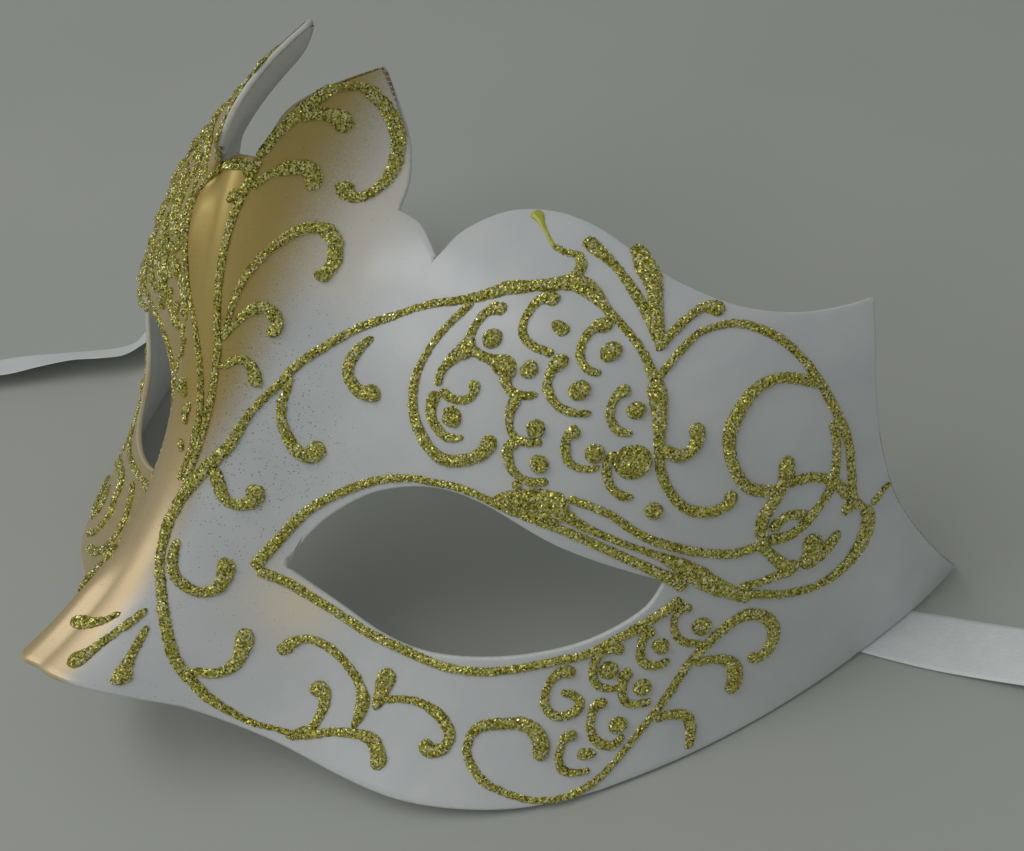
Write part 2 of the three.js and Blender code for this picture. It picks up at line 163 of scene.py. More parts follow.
# Scrollwork of the left half in the flat layout: u, v and the width of the bead, mm.
CREST_STROKES = [
    [(3.1, 29.5, 1), (3, 25, 1), (2.6, 18, 1), (2.9, 10, 1), (3.6, 4, 1), (4.2, 0, 1),
     (4.3, -7, 1), (4.1, -12, 1), (3.7, -17, 1), (3.3, -22, 1)],
    [(2.6, 24.5, 1.2), (1.8, 23.4, 1.2), (1.6, 22.2, 1.2)],
    [(3, 26.3, 1.6), (2.6, 27.6, 1.6), (1.4, 28.2, 1.6), (0, 27.4, 1.6)],
    [(3.1, 29.5, 0.9), (3.5, 33, 1), (4.5, 39, 1.1), (4.9, 41, 1.2), (6.2, 41.8, 1.1), (7.2, 41, 0.9),
     (8.5, 39.5, 1), (10, 37.5, 1), (11.2, 35.6, 1), (12.4, 33.3, 1.1), (13.2, 31.2, 1.2),
     (13.4, 29.3, 1.2), (13, 27.6, 1.3), (12, 26.7, 1.5), (11, 27.2, 1.5), (10.4, 28.6, 1.5)],
    [(4.3, 35.6, 0.8), (5.2, 37, 1.6), (6.2, 37.3, 2), (7.1, 36.4, 1.4), (7.6, 35.1, 0.6)],
    [(3.6, 25, 0.7), (4.2, 26.6, 0.8), (4.9, 27.8, 1), (5.8, 28.8, 1.8), (6.8, 29.4, 2.2),
     (7.7, 28.8, 1.6), (8.3, 27.5, 1.2), (8.3, 26.4, 0.6)],
    [(4.6, 2.5, 0.6), (4.9, 5, 0.7), (5.6, 11, 0.8), (7, 15.8, 0.9), (8, 18.2, 1), (9, 20.2, 1.3),
     (10.3, 21.5, 1.6), (11.4, 21.6, 1.7), (12.6, 20.6, 1.7), (13.5, 19, 1.6), (13.9, 17.2, 1.5),
     (13.6, 15.5, 1.8), (12.9, 14.5, 2.6)],
    [(4.5, 2, 0.6), (6, 5.3, 0.8), (6.8, 6.9, 1.1), (7.8, 8.2, 1.6), (9, 8.6, 1.7), (10.1, 7.6, 1.7),
     (10.5, 6, 1.5), (9.9, 4.6, 1.4)],
    [(4.3, -1.8, 0.8), (5.4, -1.7, 0.9), (6.2, -0.8, 1.1), (7.4, 0.1, 1.4), (8.6, -0.5, 1.5),
     (9.3, -2, 1.6), (9.7, -3.6, 1.8)],
]
BROW_STROKES = [
    [(31, -53.2, 0.7), (28, -52.9, 0.7), (25, -52.9, 0.7), (22, -52.2, 0.8), (19.5, -51.2, 1),
     (17, -49.8, 1), (13, -46.6, 1.1), (9.8, -42.5, 1.1), (6.5, -37.3, 1.2), (4.2, -33, 1.3),
     (3.1, -28.5, 1.7), (3.2, -26, 1.7), (3.6, -23.5, 1.7), (5.5, -18.5, 1.8), (7.8, -13.8, 1.4),
     (9.3, -8.5, 1.1), (10.3, -6, 1), (12.3, -2, 1), (14, 1.7, 1.1), (17, 5.8, 1.2),
     (20.5, 9.6, 1.2), (25, 13, 1.1), (27, 14.5, 1), (30, 16.4, 1.1), (34, 18.2, 1.3),
     (37.5, 20.3, 1.7), (39, 21.5, 2), (41, 22.2, 1.8), (43, 23, 1.6), (45, 23.8, 1.9),
     (47, 24.6, 2.2), (49, 24.5, 2.1), (51, 23.9, 1.8), (53, 23, 1.2), (55, 22, 1.1),
     (57, 21.2, 0.9), (60, 19.6, 0.9), (62, 18.3, 0.9), (64, 16.6, 1.2), (65.5, 15, 1.4)],
    [(6.6, -17.5, 1.6), (7.5, -19.5, 1.8), (8.6, -21.6, 1.6), (10, -22.5, 1.6), (11.6, -22, 1.8),
     (12.3, -20.3, 2.2), (11.6, -18.8, 2.4)],
    [(13.3, -0.5, 1), (13.2, -3, 1), (13, -5, 1.1), (13.2, -7, 1.2), (13.9, -9, 1.5),
     (15, -10.8, 1.8), (16.3, -12, 2), (17.6, -11.8, 2.4), (18.4, -10.5, 2.6), (17.9, -9.3, 1.8)],
    [(22.8, 8.9, 0.9), (21.8, 7.5, 1.3), (21, 5.8, 1.6), (20.5, 4, 1.7), (20.8, 2.3, 1.8),
     (22, 1, 2), (23.6, 0.5, 2.2), (25.2, 1, 2.6), (26.4, 1.5, 3.3)],
    [(5.4, -30, 1), (5.6, -32, 1.3), (6.3, -33.8, 1.3), (7.4, -35.3, 1.3), (9, -36.3, 1.4),
     (10.7, -36.7, 1.5), (12, -36, 1.6), (12.4, -34.4, 1.7), (12.1, -32.5, 1.9), (11.3, -30.9, 1.5)],
    [(14.8, -47.6, 0.9), (16, -47.6, 1.2), (17.4, -47.4, 1.4), (18.4, -46.2, 1.6),
     (18.4, -44.2, 1.5), (17.9, -42.2, 1.9), (17.1, -40.5, 1.2)],
    [(6.6, -40.7, 0.9), (5.9, -43, 1.2), (5, -45.5, 1.2), (4.3, -48, 1.6), (3.3, -50.3, 3.2)],
    [(7.9, -42.9, 0.7), (8.3, -45, 0.9), (8.8, -47.5, 1.1), (9.5, -49.7, 1.7), (10.3, -51, 2)],
]
EYE_STROKES = [
    [(15, -31.5, 1.5), (15.3, -29.5, 1.5), (16.8, -25, 1.4), (18.6, -20.8, 1.3), (21.5, -17.3, 1.3),
     (25, -14.2, 1.3), (29, -11.5, 1.2), (34, -9.3, 1.1), (38, -8.4, 1.1), (44, -7.5, 1.1),
     (52, -8.2, 1.3), (60, -8.9, 1.3), (66, -10, 1.4), (72, -11.5, 1.5), (78, -13.3, 2),
     (80, -14.3, 2.6)],
    [(15.2, -31.7, 1.5), (19, -32.4, 1.4), (23, -33.7, 1.3), (29, -35.3, 1.4), (33, -36, 1.5),
     (39, -36.2, 1.5), (46, -36.2, 1.4), (52, -35, 1.3), (58, -32.6, 1.3), (64, -29.6, 1.3),
     (68, -27.6, 1.4), (72, -24.2, 1.5), (76, -20.5, 1.5), (79, -17.2, 1.6), (79.8, -16, 1.6)],
    [(60, -6.5, 2), (63, -7.5, 1.4), (66, -8.2, 1.1), (72, -9.3, 1), (75, -9.8, 1.3),
     (78, -10.7, 2.4), (81, -12, 3.2), (84, -13.3, 2.8), (87, -14.2, 2.2), (90, -15.3, 1.2)],
    [(60, -4, 1.2), (66, -4.8, 1.2), (72, -7.2, 1.3), (78, -8.2, 1.4), (84, -8.2, 1.4),
     (86.5, -7.6, 1.5), (88.5, -6.6, 1.6), (89.5, -5.5, 1.8)],
    [(49, -7.3, 1.6), (52, -6.8, 3.4), (55, -6.2, 4.6), (58, -6, 5.2), (60.5, -6.3, 4.2)],
]
CHEEK_STROKES = [
    [(22.3, -43, 2), (22.6, -41.5, 1.8), (23.6, -40.2, 1.4), (25, -39.8, 1.2), (27, -40, 1.3),
     (29, -40.7, 1.2), (31, -41.7, 1.2), (33, -42.9, 1.3), (34.5, -44.2, 1.4), (35.5, -45.5, 2),
     (36, -47, 2), (36.3, -48.5, 1.4), (36.2, -49.8, 1.2)],
    [(37.8, -39.8, 2.6), (37.6, -41.5, 3.2), (37.7, -43.3, 2.4), (37.9, -45, 1.8), (38, -46.3, 1)],
    [(38, -44.6, 1.2), (39.5, -44.1, 1.1), (41.5, -43.3, 1.1), (43.5, -42.9, 1.2), (45.5, -42.9, 1.4),
     (47.5, -43.4, 1.7), (49.3, -44.2, 1.8), (50.8, -45.5, 1.8), (51.2, -47, 1.8), (50.5, -48.3, 2),
     (49, -48.8, 2.2), (47.2, -48, 2.4)],
    [(29, -53.5, 1.2), (30.5, -52.5, 1.8), (32, -52.2, 1.4), (34, -51.2, 1.2), (36, -50.6, 1.3),
     (38, -50.2, 1.5), (40, -50.4, 1.8), (41.3, -51.3, 2), (42.5, -52.6, 2.3), (43.3, -53.7, 1.8)],
    [(31.2, -52, 1.2), (31.2, -50.3, 1.2), (31, -48.7, 1.3), (30.4, -47.2, 1.6), (29.4, -46.3, 2.2),
     (27.8, -46.3, 2.7)],
    [(66.3, -45.5, 2.6), (65.8, -43.5, 2.6), (64.5, -41.8, 2.4), (62.5, -40.9, 2.2),
     (60.5, -40.9, 2), (58.5, -41.6, 1.8), (56.5, -42.3, 1.7), (55, -43.3, 1.7), (54.2, -44.8, 1.5),
     (54.4, -46.5, 1.4), (55.3, -48, 1.3), (58.8, -50.3, 1.2), (63, -51.1, 1), (68, -51.2, 0.9),
     (72.5, -50, 1.1), (75.8, -47.6, 1.3), (78, -43.9, 1.1), (80.4, -37.2, 1.1), (82, -33, 1.3),
     (83.7, -27, 1.3), (85.4, -23.7, 1.5), (86.9, -21.2, 1.5)],
    [(81.3, -36.2, 1.2), (83, -35.4, 1.4), (85, -34.9, 1.6), (86.7, -35.3, 1.7), (88, -36.8, 1.6),
     (88.8, -38.7, 1.4), (89.2, -40.3, 1.2)],
    [(84.8, -26.5, 1.2), (86.3, -25.8, 1.3), (88, -25.4, 1.4), (90, -25.7, 2), (91.5, -27, 2.4),
     (92.2, -29, 2.5), (91.9, -31, 2.2)],
    [(86, -22, 1.4), (87.2, -20.8, 1.5), (88.3, -19.3, 1.6), (90, -17.9, 1.8), (92, -17.5, 1.9),
     (94, -18.2, 2), (95.5, -19.8, 2), (96.1, -21.8, 1.9), (95.7, -23.8, 1.8), (94.3, -25, 1.7),
     (93.2, -24.2, 1.6)],
]
BEAD_STROKES = [
    [(67.2, -31, 2), (65.5, -31, 2), (64.3, -32, 1.5), (63.5, -34, 1.3), (63.7, -36.5, 1.4),
     (65, -38, 1.4), (67, -38.2, 1.5), (68.9, -37, 1.6), (69.2, -35.3, 1.4), (67.5, -34.4, 1.3),
     (65.8, -34.6, 0.9)],
    [(73.5, -25.8, 1.8), (71.5, -25.8, 1.7), (70, -27, 1.5), (69.6, -29, 1.3), (70, -31, 1.3),
     (71.2, -32.2, 1.3), (73, -32.3, 1.1), (74.3, -31.8, 0.9)],
    [(77.3, -21.8, 2.2), (76, -22.8, 1.6), (75.9, -25, 1.3), (76.4, -26.8, 1.4), (77.8, -27.6, 1.5),
     (79.5, -27.2, 1.4), (80.7, -26.2, 1)],
    [(75.5, -28.8, 2.4), (74.7, -30, 1.8), (74.9, -32, 1.4), (75.7, -33.7, 1.3), (77.2, -34.2, 1.2),
     (79, -33.7, 1.2), (80, -33.2, 0.9)],
    [(73.3, -34.5, 1.8), (71.8, -35.3, 1.6), (71.7, -37.3, 1.3), (72.3, -39.3, 1.3),
     (73.6, -40.7, 1.4), (75.4, -41.2, 1.5), (77, -40.8, 1.4), (77.7, -39.2, 1)],
    [(70.5, -40.8, 2.4), (69, -41, 1.6), (68.8, -43, 1.2), (69.4, -45, 1.2), (71, -46.2, 1.3),
     (73, -46, 1.1), (74.8, -45.3, 0.9)],
    [(71.8, -43.3, 2.2), (74.6, -42.7, 1.2)],
    [(81.6, -17, 2.2), (80.2, -18, 1.2), (79.7, -19.5, 1), (80.2, -21.5, 1.1), (81.5, -22.8, 1.2),
     (83.3, -23.2, 1.2), (85, -22.9, 1.2)],
]
TEMPLE_STROKES = [
    [(84, -14, 2.2), (88, -14.3, 1.5), (92, -14.2, 1.4), (95, -14, 1.3), (98, -13.3, 1.3),
     (100.5, -12.4, 1.3), (102.5, -11, 1.5), (104.3, -9, 1.7), (105.4, -6.8, 2.2), (105.9, -4.5, 2.3),
     (105.8, -2.2, 2.3), (105, -0.3, 2.2), (103.8, 0.6, 1.8)],
    [(88, -13.2, 1.6), (90, -12.6, 1.3), (92, -11.6, 1.3), (94, -10.6, 1.6), (96, -9.4, 2)],
    [(65.8, 15.2, 1.2), (66.2, 17.5, 1.2), (67.2, 21.8, 1.2), (68.6, 23.3, 1.1), (70.5, 24.3, 1.1),
     (73, 24.7, 1.1), (78, 23.9, 1), (83, 21.8, 0.9), (88, 18.6, 1.1), (93, 14.5, 1.2),
     (96.8, 10.5, 1.2), (99.2, 6.3, 1.2), (101.2, 2.5, 1.3), (102.5, 1.2, 1.4), (104, 0.6, 1.6)],
    [(92.5, 13.5, 1), (94.3, 11.3, 1.1), (95.5, 9, 1.2), (96.4, 6.5, 1.3), (96.9, 4.2, 1.5),
     (96.6, 2, 1.4), (96, 0.3, 1.4), (95.3, -1.2, 1.6), (94.3, -3, 1.6), (93, -4.3, 1.6),
     (91.3, -5, 1.8), (90, -5.3, 2)],
    [(88, 18.7, 1.6), (84.5, 18.8, 1.5), (82.5, 18.7, 1.6), (80.7, 18, 1.8), (79.3, 16.4, 2),
     (78.7, 14, 2), (78.6, 11.5, 2), (79.1, 9, 1.8), (80.2, 6.8, 1.6), (81.7, 4.8, 1.5),
     (83.5, 3, 1.7), (85.5, 2.3, 1.8), (88.7, 2.3, 1.8)],
    [(88.3, 7.8, 2), (88.8, 6.2, 2.2), (89.3, 4.5, 2.2), (89.2, 2.5, 1.8), (88.8, 0.5, 1.8),
     (88.3, -1.5, 2), (88.2, -3, 1.8), (88.8, -4.5, 1.8), (89.3, -6, 1.8), (90.6, -7.2, 1.6),
     (92.3, -8.3, 1.8), (94.2, -9.3, 2), (96.2, -9.2, 2.4)],
    [(89.8, 3.6, 1.6), (91.5, 4.5, 1.6), (93.5, 5, 1.5), (95.5, 4.9, 1.4), (97.3, 4.3, 1.6),
     (99, 3.4, 1.6), (100.5, 2.4, 2)],
    [(90, -3.8, 1.8), (90.8, -2.2, 1.6), (92, -1.2, 1.5), (93.5, -0.9, 1.6), (95, -1, 1.6)],
    [(96.7, -3.8, 2.2), (97.3, -5.5, 3.2), (98, -7.3, 3.4), (96.5, -9.3, 2.4)],
    [(101, -3.2, 1.5), (100.4, -5, 1.8), (99.3, -6.8, 2.2), (97.8, -8.5, 2)],
    [(101.2, 2, 1.8), (101, 0.5, 1.8), (101.1, -0.6, 1.4)],
    [(105.2, 1.2, 1.2), (105.8, 2.6, 1), (106.3, 3.8, 0.9), (107.2, 4.8, 0.8)],
]
# The stroke that starts at (50.8, 31) begins just past the edge of the brow.
LATTICE_STROKES = [
    [(35.5, 18.3, 1.2), (34.6, 16.5, 1.2), (33.7, 14.5, 1.1), (32.9, 12.5, 1.1), (32.2, 10, 1.1),
     (31.8, 7.5, 1.2), (31.7, 5, 1.4), (32.2, 2.5, 1.5), (33, 0.5, 1.7), (34.2, -1.2, 1.9),
     (35.8, -2.7, 1.9), (37.8, -3.9, 1.9), (40, -4.2, 1.9), (42, -3.6, 1.8), (44, -2.6, 1.8),
     (45.5, -1.3, 2), (46.2, 0.2, 2.6), (45.6, 1.5, 3.8)],
    [(40.8, 18.6, 1.8), (39.2, 18.6, 1.8), (38, 17.3, 1.4), (37.6, 15.5, 1.3), (37.7, 13.7, 1.5),
     (37.9, 12.3, 3), (37, 11, 2.2), (36, 9.3, 1.5), (35.5, 7.5, 1.3), (35.7, 5.8, 1.6)],
    [(38, 12, 2.6), (39.5, 12.2, 1.4), (41, 11.9, 1.4), (42.5, 11.9, 1.6), (44, 11.7, 3),
     (45.3, 11.4, 2.6), (45.5, 10, 1.8), (46.5, 8.9, 1.3), (48, 8.4, 1.4), (49.8, 8.8, 1.1),
     (50.8, 9.4, 0.8)],
    [(48.3, 8.2, 2), (47.9, 6.5, 1.7), (48.2, 4.8, 1.2), (49, 3.2, 1.1), (50.3, 2.4, 1.3),
     (52, 2.4, 1.3), (54, 3, 0.9)],
    [(41, 8.4, 2.4), (41.6, 7, 1.4), (41.3, 5.8, 1.2), (39.5, 4.9, 1.2), (37.7, 5, 1.4),
     (36.3, 5.4, 1.8)],
    [(36, 5, 2.2), (35.5, 3.3, 1.9), (35.8, 1.5, 1.7), (37, 0.2, 1.6), (38.8, -0.7, 1.4),
     (40.5, -0.6, 1.2), (42, 0.1, 0.8)],
    [(47, 21.5, 1.6), (45.3, 22, 1.9), (44.3, 21, 1.4), (44, 19.3, 1.2), (44.2, 17.6, 1.2),
     (45.2, 16.2, 1.1), (47, 15.4, 1.2), (49, 15.2, 1.1), (50.5, 15, 1.2)],
    [(48, 19.1, 1.2), (49.5, 18.6, 1.6), (50.8, 18.2, 1.6)],
    [(51, 15.2, 2), (51.7, 14.3, 2.6), (51.3, 12.6, 1.4), (51.6, 11, 1.3), (52.6, 9.6, 1.3),
     (54.2, 8.6, 1.1), (56.2, 8.2, 1.2), (58, 8.4, 1), (59.2, 8.8, 0.8)],
    [(56, 20.2, 2.2), (54.4, 20.5, 2), (53.5, 19, 1.3), (53.5, 17.2, 1.1), (54.3, 15.6, 1.1),
     (56, 14.4, 1.1), (58, 14.3, 1)],
    [(62.8, 13.4, 2.8), (61.6, 12, 1.4), (61.5, 10.2, 1.2), (62.2, 8.5, 1.2), (63.8, 7.3, 1.2),
     (65.8, 7.3, 1)],
    [(58.5, 6.2, 2.8), (57.3, 4.8, 1.5), (57.5, 2.9, 1.4), (58.5, 1.4, 1.3), (60.2, 0.8, 1),
     (61.8, 1, 1), (63, 1.7, 0.7)],
    [(64.5, 4.3, 1.2), (64, 2.3, 1.3), (64.6, 0.4, 1.3), (65.7, -1, 1.2), (67.5, -1.8, 1.4),
     (69, -1.6, 0.9)],
    [(50.5, 2.2, 1.8), (49.3, 0.8, 1.7), (49.7, -0.8, 1.6), (50.8, -2.2, 1.4), (52.5, -3, 1.2),
     (54.5, -3, 1.3), (56.5, -2.3, 1)],
    [(52, -3.5, 1.6), (52, -5, 1.6)],
    [(65.3, 15.3, 2), (67, 13, 2.4), (68.3, 10.8, 2), (69.3, 8.5, 1.7), (70, 6.3, 1.4),
     (71, 4, 1.3), (72.2, 1.9, 1.4), (73.7, 0.2, 1.4), (75.4, -1.2, 1.4), (77.5, -2.1, 1.6),
     (79.8, -2, 1.7), (81.6, -1.2, 1.7), (82.6, 0.2, 1.8), (81.9, 1.6, 1.6)],
    [(70.2, 6.3, 1.8), (71.8, 5.7, 1.9), (73.5, 5.6, 1.9), (74.7, 6.8, 1.8), (74.7, 8.7, 2),
     (73.4, 10.4, 2)],
    [(44.2, 30.2, 1.4), (46, 29.6, 1.5), (48, 29, 1.2), (50, 28.3, 1), (52, 27.5, 0.9),
     (56, 25.4, 1.1), (60, 22.8, 1.2), (63, 20.4, 1.4)],
    [(50.8, 31, 1), (52.5, 30.3, 1.7), (54.5, 29, 2.2), (56.5, 27.8, 2.2), (58, 26.5, 1.9),
     (59.5, 24.8, 1.7), (61, 23, 1.5), (62.5, 21.3, 1.3), (63.7, 19.5, 1.3)],
    [(68.8, 25.3, 1.2), (67.3, 26, 1.8), (65.8, 25.7, 1.6), (65, 24.3, 1.4), (64.3, 22.3, 1.4),
     (63.8, 20.2, 1.5), (63.7, 19, 1.5)],
    [(46.5, 24.8, 2.2), (46.8, 26.3, 1.6), (46, 27.4, 1.1), (45, 28, 1), (43.5, 27.9, 0.8),
     (42, 28.1, 0.6), (41, 28.2, 0.5)],
]
# Round dots of glitter: u, v and the width across.
DOTS = [
    (72, -29.4, 3), (78.8, -24.2, 2.6), (77.9, -31.3, 2.8), (76.2, -37.8, 2.8), (84, -20.2, 3),
    (41, 14.6, 2.9), (48.2, 12.2, 2.6), (39.3, 2.3, 3.2), (56.3, 11.4, 3), (57.8, 17.4, 2.9),
    (65, 10.6, 2.6), (61.8, 3.4, 2.9), (67.3, 3.4, 5.2), (54.5, -0.2, 2.8), (52.4, 4.6, 2.8),
    (72.4, -3.1, 2.6),
]
# One stroke that crosses the ridge of the nose, and a thin drip of plain glue.
NOSE_CROSS = [(3.9, -42.2, 0.8), (2.8, -43.8, 1), (1.4, -44.8, 1.4), (-0.5, -45.5, 1.9),
              (-2, -45.7, 1.2)]
GLUE_DRIP = [(41.2, 28.1, 0.5), (39, 29.3, 0.4), (37, 30.4, 0.6), (35.5, 31.2, 1.2), (34.3, 31.3, 1)]
LEFT_STROKES = (CREST_STROKES + BROW_STROKES + EYE_STROKES + CHEEK_STROKES + BEAD_STROKES
                + TEMPLE_STROKES + LATTICE_STROKES)
# Strokes that only the right half has, with u counted towards the wearer's right.
RIGHT_OWN_STROKES = [
    [(-2, 28.2, 1.5), (-0.2, 27.5, 1.6), (1.8, 26.9, 1.4), (4, 25.6, 1.1), (5.2, 23.9, 1),
     (5.9, 21.4, 1), (5.6, 19.4, 1), (5.1, 16.7, 1), (4.7, 13.7, 1.1), (4.3, 10.9, 1.1),
     (3.8, 8.1, 1), (2.5, 5.4, 1),
     (0.7, 3, 1), (-0.4, 0.6, 1), (-1.6, -2.6, 1), (-2.5, -6.7, 1), (-3, -10.8, 1), (-2.9, -14.5, 1),
     (-2.6, -17.4, 0.9), (-2.1, -21.5, 0.8)],
    [(3.2, -0.6, 0.7), (4.6, -2.4, 1.2), (3.8, -3.8, 1.1)],
    [(2.1, -6.3, 1.8), (1.6, -7.9, 2.4), (0.2, -8.4, 1.2)],
    [(-0.9, -9.4, 1), (-0.2, -11.2, 1.4), (-0.8, -12.9, 1)],
    [(-0.4, -15.3, 1.1), (-1.1, -17.2, 1.3)],
    [(15.2, -31.7, 1.5), (22, -34.8, 1.4), (29.8, -37.2, 1.4), (38.4, -38.4, 1.4), (48.4, -38.7, 1.2),
     (56, -37.4, 1.2), (62, -34.6, 1.2), (68, -30.2, 1.3), (74, -24, 1.4), (79, -17.4, 1.6)],
    [(71, -49, 1.1), (64, -46.6, 1.6), (57, -44.7, 1.8), (51, -43.5, 1.9), (47, -43.1, 2),
     (44.6, -44, 2), (44, -46.2, 1.9), (42.2, -48, 1.8), (42.6, -50.4, 1.7), (44.4, -52.8, 1.5),
     (47.5, -54.4, 1.3)],
    [(66.8, -50.4, 1.3), (62.8, -52, 1.3), (59.3, -53.2, 1.3), (56.2, -53.9, 1.3), (52.6, -52.9, 1.4),
     (52, -51, 1.4), (54.2, -49.8, 1.4), (57.8, -49.2, 1.2)],
    [(37.2, -40.1, 1.6), (34.6, -42, 1.7), (32.4, -44, 1.8), (31, -46.4, 1.7), (31.3, -48.7, 1.6),
     (33, -51, 1.5), (36.5, -53, 1.4), (41, -54.3, 1.2)],
    [(72, -49.4, 0.8), (69.6, -46.4, 0.8), (68, -43, 0.8), (66.8, -39.8, 0.9), (66.2, -37, 0.9)],
    [(6.4, -38.6, 1), (6.4, -40.2, 1.8), (6, -41.6, 2), (5.6, -43, 1)],
    [(42, 16.3, 1.4), (41.5, 13.9, 1.4), (40.7, 11.4, 1.5), (38.8, 9.2, 1.6), (35, 7.8, 1.7),
     (31.5, 7.4, 2)],
    [(34.8, 10.3, 1.6), (31.6, 9.3, 1.5), (29.4, 7.4, 1.5), (30.6, 5.6, 1.6), (34.1, 4.5, 1.6),
     (36.4, 2.9, 1.6), (36.2, 1, 1.7), (33.5, 0.2, 1.7), (30.5, 0.9, 1.6)],
    [(39.4, 7.1, 1.4), (41, 4.8, 1.4), (41.6, 2.5, 1.4), (41, 0.4, 1.5), (38, -0.9, 1.6),
     (34.8, -1.7, 1.6), (32.9, -3.2, 2), (33.9, -5.3, 2.6)],
    [(26.4, 2.2, 1.6), (24.2, 0.4, 1.6), (24, -1.7, 1.6), (26.1, -3.4, 1.6), (26.5, -5.3, 1.6),
     (23.7, -6.6, 1.4)],
    [(30, -1.6, 1.5), (30.4, -3.8, 1.6), (28.4, -5.2, 1.6), (26.2, -6.9, 1.4)],
]
# Strokes filled in on the right half as a guess. The last reaches over the eye hole.
RIGHT_GUESSED_STROKES = [
    [(27.5, 12.8, 1.4), (25.6, 11.2, 1.6), (25, 9, 1.7), (26.4, 6.8, 1.8), (28.2, 5.4, 2)],
    [(22.6, 6, 1.6), (21.2, 3.6, 1.7), (21.6, 1, 1.6), (22.8, -1.4, 1.5), (22, -3.8, 1.4)],
    [(57, 0.6, 1.6), (58.6, -2.2, 1.8), (60.4, -5.6, 2), (61, -8.6, 1.6)],
    [(59.6, -10.6, 1.2), (55.5, -11.4, 1.2), (52.2, -11.2, 1.3), (48, -10.2, 1.3), (43.5, -9.8, 1.2)],
]
RIGHT_OWN_DOTS = [(29.3, 2, 3.4), (33.9, -5.3, 2.6), (6.3, -37.4, 2.4)]
RIGHT_GUESSED_DOTS = [(24.6, 15.6, 2.2), (38, 4.8, 2.4)]
# What the right half repeats of the left half's lists, and the point from which it
# repeats the long line of the brow.
SHARED = {"crest": range(3, len(CREST_STROKES)), "brow": (2, 3, 5), "eye": (0, 2, 3, 4),
          "cheek": range(6, len(CHEEK_STROKES))}
BROW_LINE_FROM = 15
RIGHT_STROKES = (RIGHT_OWN_STROKES + RIGHT_GUESSED_STROKES
                 + [CREST_STROKES[k] for k in SHARED["crest"]]
                 + [BROW_STROKES[0][BROW_LINE_FROM:]]
                 + [BROW_STROKES[k] for k in SHARED["brow"]]
                 + [EYE_STROKES[k] for k in SHARED["eye"]]
                 + [CHEEK_STROKES[k] for k in SHARED["cheek"]]
                 + BEAD_STROKES + TEMPLE_STROKES + LATTICE_STROKES)

# The glitter bead: ring spacing, height for its width, and the grain of the flakes.
BEAD = {"step": 0.3, "sides": 8, "rise": 0.36, "most_rise": 0.85, "sink": 0.12, "grain": 0.11}


def catmull(points, per_segment=30):
    """A dense Catmull-Rom curve through the points, with its ends doubled."""
    p = np.asarray(points, float)
    padded = np.vstack([p[:1], p, p[-1:]])
    t = np.linspace(0, 1, per_segment, endpoint=False)[:, None]
    parts = []
    for k in range(len(p) - 1):
        p0, p1, p2, p3 = padded[k:k + 4]
        v0, v1 = (p2 - p0) / 2, (p3 - p1) / 2
        cubic = (2 * p1 - 2 * p2 + v0 + v1) * t**3
        parts.append(cubic + (3 * p2 - 3 * p1 - 2 * v0 - v1) * t**2 + v0 * t + p1)
    return np.vstack(parts + [p[-1:]])


def run_along(curve, dims):
    return np.concatenate([[0], np.cumsum(np.linalg.norm(np.diff(curve[:, :dims], axis=0), axis=1))])


def resample(curve, steps, dims=2):
    """Points at equal steps along a dense curve, ends included."""
    run = run_along(curve, dims)
    places = np.linspace(0, run[-1], steps + 1)
    return np.stack([np.interp(places, run, column) for column in curve.T], axis=1)


def stretch(points, steps):
    return resample(catmull(points), steps)


def section(name, height):
    t = (height - HEIGHTS["from"]) / HEIGHTS["step"]
    a, b, c, d = LINES[name]
    return (a * (t - 1) * (t - 2) * (t - 3) / -6 + b * t * (t - 2) * (t - 3) / 2
            + c * t * (t - 1) * (t - 3) / -2 + d * t * (t - 1) * (t - 2) / 6)


def turned(points, axis, angle):
    """Points turned about a coordinate axis by one angle each."""
    i, j = {0: (1, 2), 1: (2, 0), 2: (0, 1)}[axis]
    out = points.copy()
    out[:, i] = points[:, i] * np.cos(angle) - points[:, j] * np.sin(angle)
    out[:, j] = points[:, i] * np.sin(angle) + points[:, j] * np.cos(angle)
    return out


def smoothstep(low, high, x):
    t = np.clip((x - low) / (high - low), 0, 1)
    return t * t * (3 - 2 * t)


def hump(x, middle, reach):
    return np.exp(-(((x - middle) / reach) ** 2))


def ridge_flank(away, at):
    share = (away / at) ** 2
    return share * np.exp(1 - share)


def right_hand_depth(u, v):
    """How far flat places of the right-hand half lie before the even form, mm."""
    away = np.abs(u)
    brow = RIGHT_BROW["push"] * smoothstep(RIGHT_BROW["from"], RIGHT_BROW["to"], v)
    brow = brow * hump(away, RIGHT_BROW["at"], RIGHT_BROW["reach"])
    by_eye = hump(v, RIGHT_CHEEK["eye_at"], RIGHT_CHEEK["eye_reach"])
    press = RIGHT_CHEEK["press"] + RIGHT_CHEEK["by_eye"] * by_eye
    temple = RIGHT_TEMPLE["push"] * hump(v, RIGHT_TEMPLE["height"], RIGHT_TEMPLE["rise"])
    temple = temple * hump(away, RIGHT_TEMPLE["at"], RIGHT_TEMPLE["reach"])
    nose = RIGHT_NOSE["swell"] * smoothstep(RIGHT_NOSE["from"], RIGHT_NOSE["to"], -v)
    nose = nose * ridge_flank(away, RIGHT_NOSE["at"])
    bridge = RIGHT_BRIDGE["swell"] * smoothstep(RIGHT_BRIDGE["from"], RIGHT_BRIDGE["to"], v)
    bridge = bridge * (1 - smoothstep(RIGHT_BRIDGE["fades"], RIGHT_BRIDGE["ends"], v))
    bridge = bridge * ridge_flank(away, RIGHT_BRIDGE["at"])
    cheek = press * hump(away, RIGHT_CHEEK["at"], RIGHT_CHEEK["reach"])
    return np.where(u < 0, brow + temple - cheek + nose + bridge, 0)


